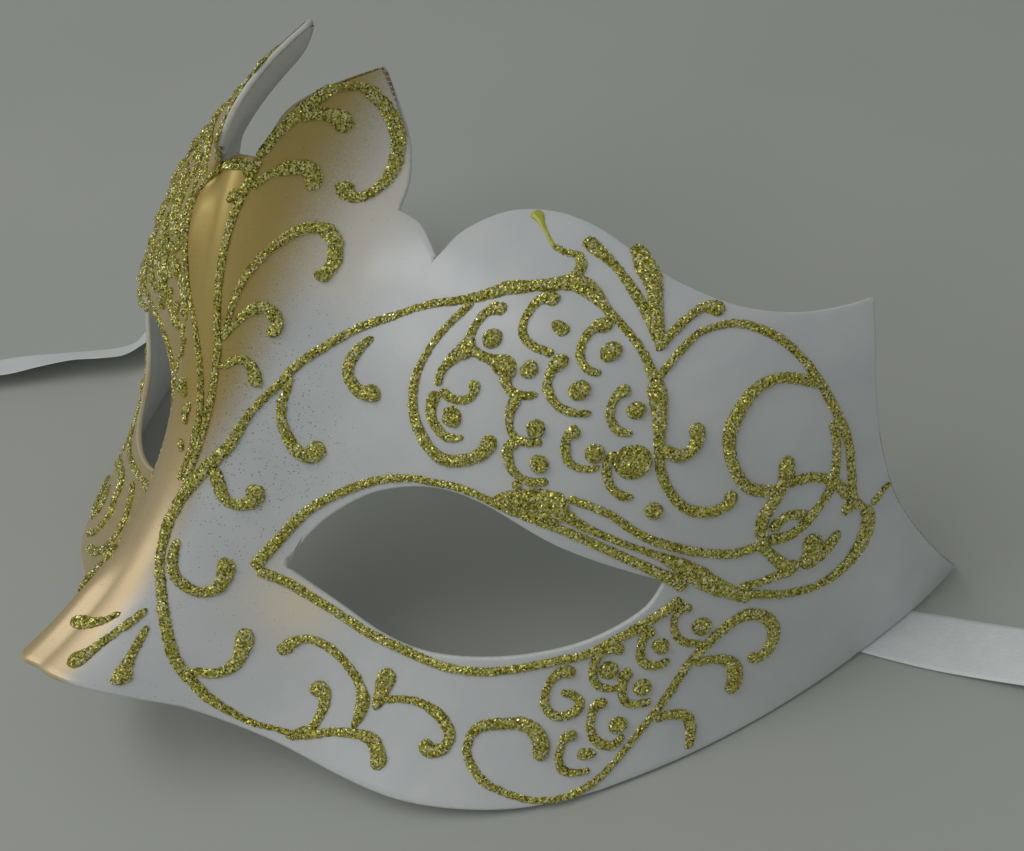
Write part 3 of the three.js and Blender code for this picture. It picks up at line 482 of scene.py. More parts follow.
def face_surface(u, v):
    """Points of the outer face in the part's frame, mm. u is negative on the wearer's right."""
    u, v = np.asarray(u, float), np.asarray(v, float)
    angle = np.abs(u) / ROLL_OUT
    across = section("half_width", v) * np.sin(angle)
    blend = (v - HEIGHTS["from"]) / RIDGE_WIDTH["rise"]
    ridge = RIDGE_WIDTH["at_chin"] + (RIDGE_WIDTH["at_brow"] - RIDGE_WIDTH["at_chin"]) * blend
    fall = section("ridge_rise", v) * (1 - np.exp(-((across / ridge) ** 2)))
    wrap = section("wrap_depth", v) * (1 - np.cos(angle))
    swell = section("cheek_swell", v) * np.sin(2 * angle) ** 2
    forward = section("ridge_top", v) - fall - wrap + swell + right_hand_depth(u, v)
    points = np.stack([np.sign(u) * across, v, forward], axis=1)
    bend = PETAL_BEND
    plan = bend["root"]
    on_petal = smoothstep(plan["from"], plan["to"], v)
    root_at = plan["on_brow"] + (plan["on_petal"] - plan["on_brow"]) * on_petal
    root = 1 / (1 + np.exp((root_at - np.abs(u)) / plan["blend"]))
    slot = bend["by_notch"]
    start = bend["starts_at"] + slot["later"] * hump(np.abs(u), slot["at"], slot["reach"])
    raised = 1 / (1 + np.exp((start - v) / bend["start_blend"]))
    within = 1 / (1 + np.exp((np.abs(u) - bend["ends_at"]) / bend["end_blend"]))
    share = np.where(u < 0, root * raised * within, 0)
    points -= bend["pivot"]
    points = turned(points, 0, bend["back"] * share)
    points = turned(points, 1, bend["turn"] * share)
    points = turned(points, 2, bend["splay"] * share)
    points += bend["pivot"]
    points = turned(points, 0, np.full(len(u), math.pi / 2 - LEAN_BACK))
    points[:, 2] += FACE_HEIGHT
    wing = OPEN_WING
    opened = 1 / (1 + np.exp((wing["starts_at"] - np.abs(u)) / wing["start_blend"]))
    angle = wing["angle"] * np.where(u < 0, opened, 0)
    return turned(points - wing["foot"], 2, angle) + wing["foot"] + SEAT


def face_normal(u, v):
    e = 0.05
    along = face_surface(u + e, v) - face_surface(u - e, v)
    up = face_surface(u, v + e) - face_surface(u, v - e)
    normal = np.cross(along, up)
    return normal / np.linalg.norm(normal, axis=1)[:, None]


def shell_point(u, v, depth):
    """Points at a depth behind the outer face, mm."""
    u, v = np.asarray(u, float), np.asarray(v, float)
    return face_surface(u, v) - face_normal(u, v) * np.broadcast_to(depth, u.shape)[:, None]


def make_object(name, points_mm, faces, materials, face_materials=None, smooth=True, attributes=None):
    """A mesh object at the origin; points in mm, named per-vertex attributes."""
    mesh = bpy.data.meshes.new(name)
    mesh.from_pydata((np.asarray(points_mm) * MM).tolist(), [], faces)
    for material in materials:
        mesh.materials.append(material)
    if face_materials is not None:
        mesh.polygons.foreach_set("material_index", face_materials)
    mesh.polygons.foreach_set("use_smooth", [smooth] * len(mesh.polygons))
    for key, values in (attributes or {}).items():
        values = np.asarray(values, np.float32)
        kind, field = ("FLOAT_VECTOR", "vector") if values.ndim == 2 else ("FLOAT", "value")
        mesh.attributes.new(key, kind, "POINT").data.foreach_set(field, values.ravel())
    mesh.update()
    obj = bpy.data.objects.new(name, mesh)
    bpy.context.scene.collection.objects.link(obj)
    return obj


# Camera

def make_camera():
    az, el, roll = (math.radians(CAMERA[k]) for k in ("azimuth", "elevation", "roll"))
    back = Vector((math.sin(az) * math.cos(el), -math.cos(az) * math.cos(el), math.sin(el)))
    level = Vector((0, 0, 1)).cross(back).normalized()
    upright = back.cross(level)
    right = level * math.cos(roll) + upright * math.sin(roll)
    up = upright * math.cos(roll) - level * math.sin(roll)
    data = bpy.data.cameras.new("photo_camera")
    data.sensor_width = CAMERA["sensor"]
    data.lens = CAMERA["lens"]
    data.clip_start, data.clip_end = 0.01, 10
    camera = bpy.data.objects.new("photo_camera", data)
    camera.matrix_world = Matrix.Translation(Vector(CAMERA["place"]) * MM) @ Matrix(
        (right, up, back)).transposed().to_4x4()
    bpy.context.scene.collection.objects.link(camera)
    bpy.context.scene.camera = camera


# Node helpers

def new_material(name):
    material = bpy.data.materials.new(name)
    material.use_nodes = True
    tree = material.node_tree
    tree.nodes.clear()
    return material, tree


def node(tree, kind, inputs=None, **settings):
    """A node with its settings; an input is a value, or a socket to link from."""
    made = tree.nodes.new(kind)
    for key, value in settings.items():
        setattr(made, key, value)
    for key, value in (inputs or {}).items():
        if isinstance(value, bpy.types.NodeSocket):
            tree.links.new(value, made.inputs[key])
        else:
            made.inputs[key].default_value = value
    return made


def attribute(tree, name, output="Fac"):
    return node(tree, "ShaderNodeAttribute", attribute_name=name).outputs[output]


def maths(tree, operation, first, second=0.0, clamp=False):
    made = node(tree, "ShaderNodeMath", {0: first, 1: second}, operation=operation, use_clamp=clamp)
    return made.outputs[0]


def vector_maths(tree, operation, inputs):
    return node(tree, "ShaderNodeVectorMath", inputs, operation=operation).outputs[0]


def noise(tree, vector, scale, detail):
    made = node(tree, "ShaderNodeTexNoise", {"Vector": vector, "Scale": scale, "Detail": detail})
    return made.outputs["Fac"]


def cells(tree, vector, scale):
    """A pattern of cells, and the random shares that each cell has."""
    made = node(tree, "ShaderNodeTexVoronoi", {"Vector": vector, "Scale": scale, "Randomness": 1.0})
    return made, node(tree, "ShaderNodeSeparateColor", {"Color": made.outputs["Color"]}).outputs


def share_between(tree, value, low, high):
    made = node(tree, "ShaderNodeMapRange", {"Value": value, "From Min": low, "From Max": high})
    return made.outputs["Result"]


def bump(tree, height, size):
    """The normal of a relief; size is its strength and its depth in metres."""
    made = node(tree, "ShaderNodeBump", {"Height": height, "Strength": size[0], "Distance": size[1]})
    return made.outputs["Normal"]


def ramp(tree, factor, stops, interpolation="LINEAR"):
    made = node(tree, "ShaderNodeValToRGB", {"Fac": factor})
    made.color_ramp.interpolation = interpolation
    elements = made.color_ramp.elements
    while len(elements) < len(stops):
        elements.new(1.0)
    for element, (position, color) in zip(elements, stops):
        element.position = position
        element.color = (*color, 1)
    return made.outputs["Color"]


def mix_color(tree, factor, first, second, how="MIX"):
    """Two colours mixed; each is a socket, or red, green and blue."""
    first, second = ((*value, 1) if isinstance(value, tuple) else value for value in (first, second))
    made = node(tree, "ShaderNodeMix", {0: factor, 6: first, 7: second}, data_type="RGBA",
                blend_type=how)
    return made.outputs[2]


def finish_material(tree, inputs):
    shader = node(tree, "ShaderNodeBsdfPrincipled", inputs)
    output = node(tree, "ShaderNodeOutputMaterial")
    tree.links.new(shader.outputs[0], output.inputs[0])


# Materials

GOLD_PAINT = (0.56, 0.41, 0.12)
# The paler gold low on the nose is painted sheen: the light that the nose ridge reflects, put into the
# colour of the gold paint.
PAINTED_SHEEN_GOLD = (0.68, 0.52, 0.30)
PAINTED_SHEEN_BAND = {"starts": -8.0, "full": -24.0, "side": -8.0, "side_full": -3.0}
PALE_GOLD = (0.88, 0.77, 0.60)
SPECK = (0.07, 0.065, 0.05)

# Pattern scales are per millimetre of the flat layout or of the ribbon, and per metre
# for glitter, glue and floor. A bump is its strength and its depth in metres.
PEARL = {
    "cloud": 0.12, "mist": 3.2, "grain": 9.0, "dots": 3.0, "fine": 2.2, "waves": 0.09,
    "spray": 1.5, "dot_reach": 0.4, "dot_share": 0.7, "fine_rise": 0.012, "wave_rise": 0.5,
    "bump": (0.35, 0.001), "rough": 0.29, "rough_mist": 0.08, "rough_gold": 0.1,
    "metal": 0.5, "coat": 0.35, "coat_rough": 0.24,
}
INSIDE = {"cloud": 0.15, "grain": 2.6, "bump": (0.4, 0.0002), "rough": 0.55, "rough_grain": 0.15}
EDGE = {"grain": 1.4, "gold": 0.8, "bump": (0.3, 0.0001), "rough": 0.45}
GLITTER = {"flakes": 4000.0, "tilt": 1.5, "metal": 0.65, "rough": 0.2, "rough_flake": 0.2}
GLUE = {"cloud": 900.0, "bump": (0.4, 0.0001), "rough": 0.25, "coat": 0.5}
SATIN = {
    "along": (0.9, 5.5, 1), "across": (4.0, 0.6, 1), "broad": 0.16, "thread_rise": 0.7,
    "weft_rise": 0.4, "bump": (0.6, 0.00012), "rough": 0.32, "rough_thread": 0.2,
    "anisotropy": 0.5, "sheen": 0.3,
}
FLOOR = {"cloud": 6.0, "rough": 0.55, "half_width": 3.0}


def pearl_material():
    """Pearl paint with airbrushed gold, its overspray and fine dark specks."""
    material, tree = new_material("pearl_paint")
    look = PEARL
    flat = attribute(tree, "flat", "Vector")
    gold = attribute(tree, "gold")
    blush = attribute(tree, "blush")
    specks = attribute(tree, "specks")
    cloud = noise(tree, flat, look["cloud"], 3)
    mist = noise(tree, flat, look["mist"], 1)
    grain = cells(tree, flat, look["grain"])[1][0]
    pearl = ramp(tree, cloud, [(0.35, (0.66, 0.68, 0.70)), (0.65, (0.71, 0.725, 0.73))])
    warm = mix_color(tree, blush, pearl, PALE_GOLD)
    open_share = maths(tree, "MULTIPLY", gold, maths(tree, "SUBTRACT", 1.0, gold))
    scatter = maths(tree, "MULTIPLY", maths(tree, "SUBTRACT", grain, 0.5), look["spray"])
    painted = maths(tree, "ADD", gold, maths(tree, "MULTIPLY", scatter, open_share), clamp=True)
    spot = node(tree, "ShaderNodeSeparateXYZ", {"Vector": flat})
    # Low on the nose, on the ridge and towards the left, the gold is swapped for the paler one: painted
    # sheen.
    low = share_between(tree, spot.outputs["Y"], PAINTED_SHEEN_BAND["starts"], PAINTED_SHEEN_BAND["full"])
    near = share_between(tree, spot.outputs["X"], PAINTED_SHEEN_BAND["side"], PAINTED_SHEEN_BAND["side_full"])
    painted_sheen = maths(tree, "MULTIPLY", low, near)
    coat = mix_color(tree, painted, warm, mix_color(tree, painted_sheen, GOLD_PAINT, PAINTED_SHEEN_GOLD))
    dots, shares = cells(tree, flat, look["dots"])
    over = maths(tree, "SUBTRACT", maths(tree, "ADD", shares[0], specks), 1.0)
    reach = maths(tree, "MULTIPLY", over, look["dot_reach"])
    inside = maths(tree, "LESS_THAN", dots.outputs["Distance"], reach)
    colour = mix_color(tree, maths(tree, "MULTIPLY", inside, look["dot_share"]), coat, SPECK)
    fine = maths(tree, "MULTIPLY", noise(tree, flat, look["fine"], 2), look["fine_rise"])
    waves = maths(tree, "MULTIPLY", noise(tree, flat, look["waves"], 2), look["wave_rise"])
    normal = bump(tree, maths(tree, "ADD", fine, waves), look["bump"])
    rough = maths(tree, "ADD", maths(tree, "MULTIPLY", mist, look["rough_mist"]), look["rough"])
    rough = maths(tree, "ADD", rough, maths(tree, "MULTIPLY", painted, look["rough_gold"]))
    finish_material(tree, {
        "Base Color": colour,
        "Metallic": maths(tree, "MULTIPLY", painted, look["metal"]),
        "Roughness": rough,
        "Normal": normal,
        "Coat Weight": look["coat"],
        "Coat Roughness": look["coat_rough"],
    })
    return material


def inside_material():
    """Bare moulded inside of the shell, dull white with a faint grain."""
    material, tree = new_material("bare_inside")
    flat = attribute(tree, "flat", "Vector")
    cloud = noise(tree, flat, INSIDE["cloud"], 4)
    grain = noise(tree, flat, INSIDE["grain"], 4)
    rough = maths(tree, "MULTIPLY", grain, INSIDE["rough_grain"])
    finish_material(tree, {
        "Base Color": ramp(tree, cloud, [(0.3, (0.66, 0.66, 0.63)), (0.7, (0.74, 0.74, 0.71))]),
        "Roughness": maths(tree, "ADD", rough, INSIDE["rough"]),
        "Normal": bump(tree, grain, INSIDE["bump"]),
    })
    return material


def edge_material():
    """Cut edge of the shell, with some of the gold that the face has beside it."""
    material, tree = new_material("cut_edge")
    flat = attribute(tree, "flat", "Vector")
    grain = noise(tree, flat, EDGE["grain"], 3)
    bare = ramp(tree, grain, [(0.3, (0.66, 0.67, 0.66)), (0.7, (0.76, 0.77, 0.76))])
    gold = maths(tree, "MULTIPLY", attribute(tree, "gold"), EDGE["gold"])
    finish_material(tree, {
        "Base Color": mix_color(tree, gold, bare, GOLD_PAINT),
        "Roughness": EDGE["rough"],
        "Normal": bump(tree, grain, EDGE["bump"]),
    })
    return material


def glitter_material():
    """Metallic flakes a quarter of a millimetre across, each tilted its own way."""
    material, tree = new_material("gold_glitter")
    place = node(tree, "ShaderNodeTexCoord").outputs["Object"]
    flakes, shares = cells(tree, place, GLITTER["flakes"])
    # Flake colours run from dark olive through gold to near white. The gold ones are the glitter's own
    # colour, and so are the rare pink ones. The darkest and the near-white ones are painted shade and
    # painted glints of flakes turned away from or towards the light.
    colour = ramp(tree, shares[0], [
        (0.0, (0.30, 0.27, 0.04)), (0.2, (0.48, 0.44, 0.08)), (0.5, (0.66, 0.61, 0.13)),
        (0.78, (0.90, 0.85, 0.34)), (0.9, (1.0, 0.98, 0.72)), (0.995, (0.80, 0.42, 0.40)),
    ], "CONSTANT")
    tilt = vector_maths(tree, "SUBTRACT", {0: flakes.outputs["Color"], 1: (0.5, 0.5, 0.5)})
    spread = vector_maths(tree, "SCALE", {0: tilt, "Scale": GLITTER["tilt"]})
    normal = node(tree, "ShaderNodeNewGeometry").outputs["Normal"]
    mixed = vector_maths(tree, "ADD", {0: normal, 1: spread})
    rough = maths(tree, "MULTIPLY", shares[1], GLITTER["rough_flake"])
    finish_material(tree, {
        "Base Color": colour,
        "Metallic": GLITTER["metal"],
        "Roughness": maths(tree, "ADD", rough, GLITTER["rough"]),
        "Normal": vector_maths(tree, "NORMALIZE", {0: mixed}),
    })
    return material


def glue_material():
    """Yellow-green glue that ran off the glitter."""
    material, tree = new_material("glitter_glue")
    place = node(tree, "ShaderNodeTexCoord").outputs["Object"]
    cloud = noise(tree, place, GLUE["cloud"], 2)
    finish_material(tree, {
        "Base Color": ramp(tree, cloud, [(0.3, (0.44, 0.47, 0.02)), (0.7, (0.60, 0.62, 0.05))]),
        "Roughness": GLUE["rough"],
        "Normal": bump(tree, cloud, GLUE["bump"]),
        "Coat Weight": GLUE["coat"],
    })
    return material


def satin_material():
    """White satin with fine floats along the ribbon."""
    material, tree = new_material("white_satin")
    weave = attribute(tree, "weave", "Vector")
    floats = node(tree, "ShaderNodeMapping", {"Vector": weave, "Scale": SATIN["along"]}).outputs[0]
    thread = noise(tree, floats, 1.0, 3)
    cross = node(tree, "ShaderNodeMapping", {"Vector": weave, "Scale": SATIN["across"]}).outputs[0]
    weft = noise(tree, cross, 1.0, 2)
    broad = noise(tree, weave, SATIN["broad"], 2)
    colour = ramp(tree, thread, [(0.3, (0.83, 0.86, 0.88)), (0.7, (0.95, 0.97, 0.98))])
    shade = ramp(tree, broad, [(0.3, (0.93, 0.93, 0.92)), (0.7, (1, 1, 1))])
    threads = maths(tree, "MULTIPLY", thread, SATIN["thread_rise"])
    wefts = maths(tree, "MULTIPLY", weft, SATIN["weft_rise"])
    rough = maths(tree, "MULTIPLY", thread, SATIN["rough_thread"])
    finish_material(tree, {
        "Base Color": mix_color(tree, 1.0, colour, shade, "MULTIPLY"),
        "Roughness": maths(tree, "ADD", rough, SATIN["rough"]),
        "Anisotropic": SATIN["anisotropy"],
        "Sheen Weight": SATIN["sheen"],
        "Normal": bump(tree, maths(tree, "ADD", threads, wefts), SATIN["bump"]),
    })
    return material


def floor_material():
    material, tree = new_material("pale_floor")
    place = node(tree, "ShaderNodeTexCoord").outputs["Object"]
    cloud = noise(tree, place, FLOOR["cloud"], 3)
    colour = ramp(tree, cloud, [(0.3, (0.475, 0.495, 0.455)), (0.7, (0.515, 0.53, 0.495))])
    finish_material(tree, {"Base Color": colour, "Roughness": FLOOR["rough"]})
    return material


# Ribbons

def ribbon_rows(ribbon):
    """Middle and half-width vectors of every row, from the glued tab to the roll, mm."""
    sign = ribbon["sign"]
    depth = WALL + RIBBON["gap"] + RIBBON["solid_thick"] / 2
    tab = np.array(ribbon["tab"], float)
    front = shell_point(sign * (tab[:, 0] + tab[:, 2]), tab[:, 1] + tab[:, 3], depth)
    rear = shell_point(sign * (tab[:, 0] - tab[:, 2]), tab[:, 1] - tab[:, 3], depth)
    floor = np.array(ribbon["floor"], float)
    middles = [*((front + rear) / 2), *(floor[:, :3] + SEAT)]
    halves = [*((front - rear) / 2), *floor[:, 3:]]
    last_middle, last_half = middles[-1], halves[-1]
    heading = np.array(ribbon["heading"], float)
    heading /= np.linalg.norm(heading)
    flat = last_half * [1, 1, 0]
    flat /= np.linalg.norm(flat)
    half_width = RIBBON["width"] / 2
    start = math.asin(last_half[2] / np.linalg.norm(last_half))
    upright = ribbon["roll_up"] * math.pi / 2
    for k in range(1, TWIST["steps"] + 1):
        share = k / TWIST["steps"]
        eased = share * share * (3 - 2 * share)
        angle = start + (upright - start) * eased
        half = flat * math.cos(angle) * half_width
        half[2] = math.sin(angle) * half_width
        middle = last_middle + heading * TWIST["length"] * share
        lift = abs(half[2]) + RIBBON["solid_thick"] / 2 * math.cos(angle)
        middle[2] = max(last_middle[2] + (half_width - last_middle[2]) * eased, lift)
        middles.append(middle)
        halves.append(half)
    outer, inner = ROLL["outer_turn"], ROLL["inner_turn"]
    sideways = np.array([heading[1], -heading[0], 0]) * ribbon["roll_side"]
    tangent = last_middle + heading * (TWIST["length"] + TWIST["clear"])
    centre = tangent + sideways * outer
    for k in range(ROLL["turns"] * ROLL["points"] + 1):
        turn = k / ROLL["points"]
        radius = outer + (inner - outer) * turn / ROLL["turns"]
        angle = 2 * math.pi * turn
        middle = centre + radius * (heading * math.sin(angle) - sideways * math.cos(angle))
        middle[2] = half_width + SEAT[2]
        middles.append(middle)
        halves.append(np.array([0, 0, upright / abs(upright) * half_width]))
    return np.array(middles), np.array(halves)


def ribbon_object(name, ribbon, satin):
    """A thin closed band that follows the rows, with its length and width kept as attributes."""
    middles, halves = ribbon_rows(ribbon)
    rows = catmull(np.hstack([middles, halves]), BAND["curve_steps"])
    length = run_along(rows, 3)[-1]
    rows = resample(rows, int(length / BAND["row_step"]), 3)
    middle, half = rows[:, :3], rows[:, 3:]
    half *= (RIBBON["width"] / 2 / np.linalg.norm(half, axis=1))[:, None]
    run = run_along(middle, 3)
    forward = np.gradient(middle, axis=0)
    through = np.cross(half, forward)
    through /= np.linalg.norm(through, axis=1)[:, None]
    count = BAND["columns"]
    across = np.linspace(-1, 1, count)
    points, weave = [], []
    for face in (1, -1):
        for share in across:
            round_off = 1 - abs(share) ** BAND["edge_power"] * BAND["edge_thins_by"]
            points.append(middle + half * share + through * face * RIBBON["thick"] / 2 * round_off)
            sideways = np.full(len(run), share * RIBBON["width"] / 2)
            weave.append(np.stack([run, sideways, run * 0 + face], axis=1))
    points, weave = np.stack(points, axis=1), np.stack(weave, axis=1)
    loop = list(range(count)) + list(range(2 * count - 1, count - 1, -1))
    faces = []
    size = 2 * count
    for k in range(len(middle) - 1):
        for a, b in zip(loop, loop[1:] + loop[:1]):
            faces.append([k * size + a, k * size + b, (k + 1) * size + b, (k + 1) * size + a])
    faces.append(loop[::-1])
    faces.append([(len(middle) - 1) * size + a for a in loop])
    piece = make_object(name.replace("ribbon", "satin_tie"), points.reshape(-1, 3), faces, [satin],
                        attributes={"weave": weave.reshape(-1, 3)})
    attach(piece, BODY)
    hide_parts(name, name + "_roll")
    return piece


# Shell

# High on the right half, the cut edge carries almost no gold.
BARE_EDGE = {"above": 26.0, "behind": 0.05, "gold": 0.15}


def nose_steps(end, start, steps, begin=0):
    """Steps over the nose, crowded towards the sharp centre line."""
    places = (np.arange(begin, begin + steps + 1) / STEPS["nose"]) ** NOSE_CROWDING
    share = (places - places[0]) / (places[-1] - places[0])
    return np.asarray(start, float) + (np.asarray(end, float) - start) * share[:, None]


def chain(*parts):
    return np.vstack([parts[0]] + [part[1:] for part in parts[1:]])


def guide_lines(side):
    """The four lines that the columns of one half hang on: top, rim, lower and upper lid."""
    notch = NOTCH[side]
    top = chain(
        nose_steps(notch, CREST_APEX, STEPS["crest"]),
        nose_steps(PETAL_CORNER, notch, STEPS["nose"] - STEPS["crest"], STEPS["crest"]),
        stretch([PETAL_CORNER, *SCALLOP, SCALLOP_NOTCH], STEPS["scallop"]),
        stretch([SCALLOP_NOTCH, *BROW, *BROW_TO_TEMPLE, TEMPLE],
                STEPS["eye"] - STEPS["scallop"] + STEPS["temple"]),
        stretch([TEMPLE, *SIDE, BACK_CORNER], STEPS["side"] - STEPS["temple"]),
    )
    rim = chain(
        nose_steps(NOSE_RIM[-1], NOSE_RIM[0], STEPS["nose"]),
        stretch([NOSE_RIM[-1], *CHEEK_RIM], STEPS["eye"]),
        stretch([CHEEK_RIM[-1], *BACK_RIM, BACK_CORNER], STEPS["side"]),
    )
    inwards = nose_steps(EYE_INNER, (0, CENTRE_HEIGHT), STEPS["nose"])
    outwards = stretch([EYE_OUTER, BACK_CORNER], STEPS["side"])
    lower = chain(inwards, stretch([EYE_INNER, *LOWER_LID, EYE_OUTER], STEPS["eye"]), outwards)
    upper = chain(inwards, stretch([EYE_INNER, *UPPER_LID, EYE_OUTER], STEPS["eye"]), outwards)
    return top, rim, lower, upper


def band_between(low, high, rows):
    share = np.linspace(0, 1, rows + 1)[None, :, None]
    return low[:, None, :] * (1 - share) + high[:, None, :] * share


def petal_grid(side, root):
    """Columns of the crest petal, from its root on the top line to its tip."""
    inner = stretch([NOTCH[side], *PETAL_INNER, PETAL_TIP], ROWS["petal"])
    outer = stretch([PETAL_CORNER, *PETAL_OUTER[::-1], PETAL_TIP], ROWS["petal"])
    reach = np.linalg.norm(root - root[0], axis=1)
    share = (reach / reach[-1])[:, None, None]
    grid = inner[None] * (1 - share) + outer[None] * share
    grid[:, 0] = root
    return grid


def flat_layout():
    """Points and faces of the whole mask in the flat layout."""
    points, index_of, faces = [], {}, []
    for side, sign in (("left", 1), ("right", -1)):
        top, rim, lower, upper = guide_lines(side)
        grids = [
            band_between(rim, lower, ROWS["below"]),
            band_between(upper, top, ROWS["above"]),
            petal_grid(side, top[STEPS["crest"]:STEPS["nose"] + 1]),
        ]
        for grid in grids:
            names = np.empty(grid.shape[:2], int)
            for i, column in enumerate(grid):
                for j, (u, v) in enumerate(column):
                    key = (round(sign * u + 0.0, 4) + 0.0, round(v, 4))
                    names[i, j] = index_of.setdefault(key, len(points))
                    if names[i, j] == len(points):
                        points.append((sign * u, v))
            for i in range(grid.shape[0] - 1):
                for j in range(grid.shape[1] - 1):
                    ring = [names[i, j], names[i + 1, j], names[i + 1, j + 1], names[i, j + 1]]
                    ring = [int(a) for k, a in enumerate(ring) if a != ring[k - 1]]
                    if len(ring) > 2:
                        faces.append(ring if sign > 0 else ring[::-1])
    return np.array(points), faces


def open_edges(faces):
    """Edges that only one face uses, in the direction that it uses them."""
    edges = {}
    for ring in faces:
        for a, b in zip(ring, ring[1:] + ring[:1]):
            if edges.pop((b, a), None) is None:
                edges[(a, b)] = True
    return list(edges)


# Airbrushed gold. On the left half it reaches as far as the rows say, each at a height.
# On the right half it reaches to about the outer eye corner, and thins a little on the way.
LEFT_GOLD = {
    "height": (-55, -45, -20, -12, 0, 8, 18, 28, 34, 40, 46),
    "reach": (5, 4.5, 5, 6.5, 9, 10, 10.5, 10, 9, 7.6, 6.2),
    "fade": (2, 2, 2.5, 3, 3.5, 4, 4, 4, 3.2, 2.2, 1.6),
}
RIGHT_GOLD = {"reach": 74, "fade": 14, "thinner_by": 0.22, "from": 14, "to": 40}
# Warm overspray: at the inner eye corners, and in a band beside the crest.
EYE_BLUSH = {"share": 0.95, "at": 21, "reach": 6, "height": -35, "rise": 5.5}
BROW_BLUSH = {"share": 0.5, "at": 14, "reach": 6, "from": 8, "to": 16}
# Dark specks: some everywhere, more beside the nose and more towards the middle.
ALL_SPECKS = {"least": 0.25, "most": 0.8}
NOSE_SPECKS = {"share": 0.5, "at": 12, "reach": 11, "height": -12, "rise": 20}
MIDDLE_SPECKS = {"share": 0.2, "at": 0, "reach": 30}


def paint_shares(u, v):
    """How far each flat place carries gold, warm overspray and dark specks."""
    away, left = np.abs(u), u >= 0
    reach = np.interp(v, LEFT_GOLD["height"], LEFT_GOLD["reach"])
    reach = np.where(left, reach, RIGHT_GOLD["reach"])
    fade = np.interp(v, LEFT_GOLD["height"], LEFT_GOLD["fade"])
    fade = np.where(left, fade, RIGHT_GOLD["fade"])
    gold = 1 - smoothstep(reach - fade, reach + fade, away)
    further_out = smoothstep(RIGHT_GOLD["from"], RIGHT_GOLD["to"], away)
    gold *= np.where(left, 1, 1 - RIGHT_GOLD["thinner_by"] * further_out)
    blush = EYE_BLUSH["share"] * hump(away, EYE_BLUSH["at"], EYE_BLUSH["reach"])
    blush = blush * hump(v, EYE_BLUSH["height"], EYE_BLUSH["rise"])
    by_brow = BROW_BLUSH["share"] * hump(away, BROW_BLUSH["at"], BROW_BLUSH["reach"])
    blush += by_brow * smoothstep(BROW_BLUSH["from"], BROW_BLUSH["to"], v)
    by_nose = NOSE_SPECKS["share"] * hump(away, NOSE_SPECKS["at"], NOSE_SPECKS["reach"])
    by_nose = by_nose * hump(v, NOSE_SPECKS["height"], NOSE_SPECKS["rise"])
    middle = MIDDLE_SPECKS["share"] * hump(away, MIDDLE_SPECKS["at"], MIDDLE_SPECKS["reach"])
    specks = ALL_SPECKS["least"] + by_nose + middle
    return gold, np.clip(blush, 0, 1), np.clip(specks, 0, ALL_SPECKS["most"])


def shell_object():
    """The painted face, the bare inside and a rounded cut edge between them."""
    flat, faces = flat_layout()
    edges = open_edges(faces)
    following, before = dict(edges), {b: a for a, b in edges}
    rim = list(following)
    tangent = np.array([flat[following[a]] - flat[before[a]] for a in rim])
    outward = np.stack([tangent[:, 1], -tangent[:, 0]], axis=1)
    outward /= np.linalg.norm(outward, axis=1)[:, None]
    inset = flat.copy()
    inset[rim] -= outward * EDGE_ROUND
    count = len(flat)
    corner = EDGE_ROUND * (1 - math.sqrt(0.5))
    rings = [(corner, corner), (0, EDGE_ROUND), (0, WALL - EDGE_ROUND), (corner, WALL - corner)]
    layers = [(inset, 0.0), (inset, WALL)] + [(flat[rim] - outward * back, depth) for back, depth in rings]
    points = np.vstack([shell_point(p[:, 0], p[:, 1], depth) for p, depth in layers])
    places = np.vstack([np.hstack([p, np.full((len(p), 1), depth)]) for p, depth in layers])
    gold, blush, specks = paint_shares(places[:, 0], places[:, 1])
    high_right = (places[:, 0] < 0) & (places[:, 1] > BARE_EDGE["above"])
    bare_edge = high_right & (places[:, 2] > BARE_EDGE["behind"])
    gold = np.where(bare_edge, BARE_EDGE["gold"] * gold, gold)
    all_faces = list(faces)
    face_materials = [0] * len(faces)
    all_faces += [[a + count for a in ring[::-1]] for ring in faces]
    face_materials += [1] * len(faces)
    slot_of = {a: k for k, a in enumerate(rim)}
    bands = [dict(zip(rim, rim))]
    for k in range(len(rings)):
        bands.append({a: 2 * count + k * len(rim) + slot_of[a] for a in rim})
    bands.append({a: a + count for a in rim})
    for upper, lower in zip(bands, bands[1:]):
        for a, b in edges:
            all_faces.append([upper[b], upper[a], lower[a], lower[b]])
            face_materials.append(2)
    shell = make_object("pearl_shell", points, all_faces,
                        [pearl_material(), inside_material(), edge_material()], face_materials,
                        attributes={"flat": places, "gold": gold, "blush": blush, "specks": specks})
    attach(shell, BODY)
    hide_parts("mask_shell")
    return shell


# Glitter

def bead_rings(stroke, sign):
    """Rings of one raised stroke in the flat layout, mm: middles, sideways directions and widths, with
    round ends.
    """
    curve = catmull([(sign * u, v, w) for u, v, w in stroke])
    run = run_along(curve, 2)
    rings = resample(curve, max(3, int(run[-1] / BEAD["step"])), 2)
    width = rings[:, 2]
    along = np.linspace(0, run[-1], len(rings))
    for distance, end_width in ((along, width[0]), (along[::-1], width[-1])):
        radius = end_width / 2
        cap = np.clip(distance / radius, 0, 1)
        width = np.where(distance < radius, width * np.sqrt(np.clip(1 - (1 - cap) ** 2, 0.02, 1)), width)
    tangent = np.gradient(rings[:, :2], axis=0)
    tangent /= np.linalg.norm(tangent, axis=1)[:, None]
    side = np.stack([-tangent[:, 1], tangent[:, 0]], axis=1)
    return rings[:, :2], side, width


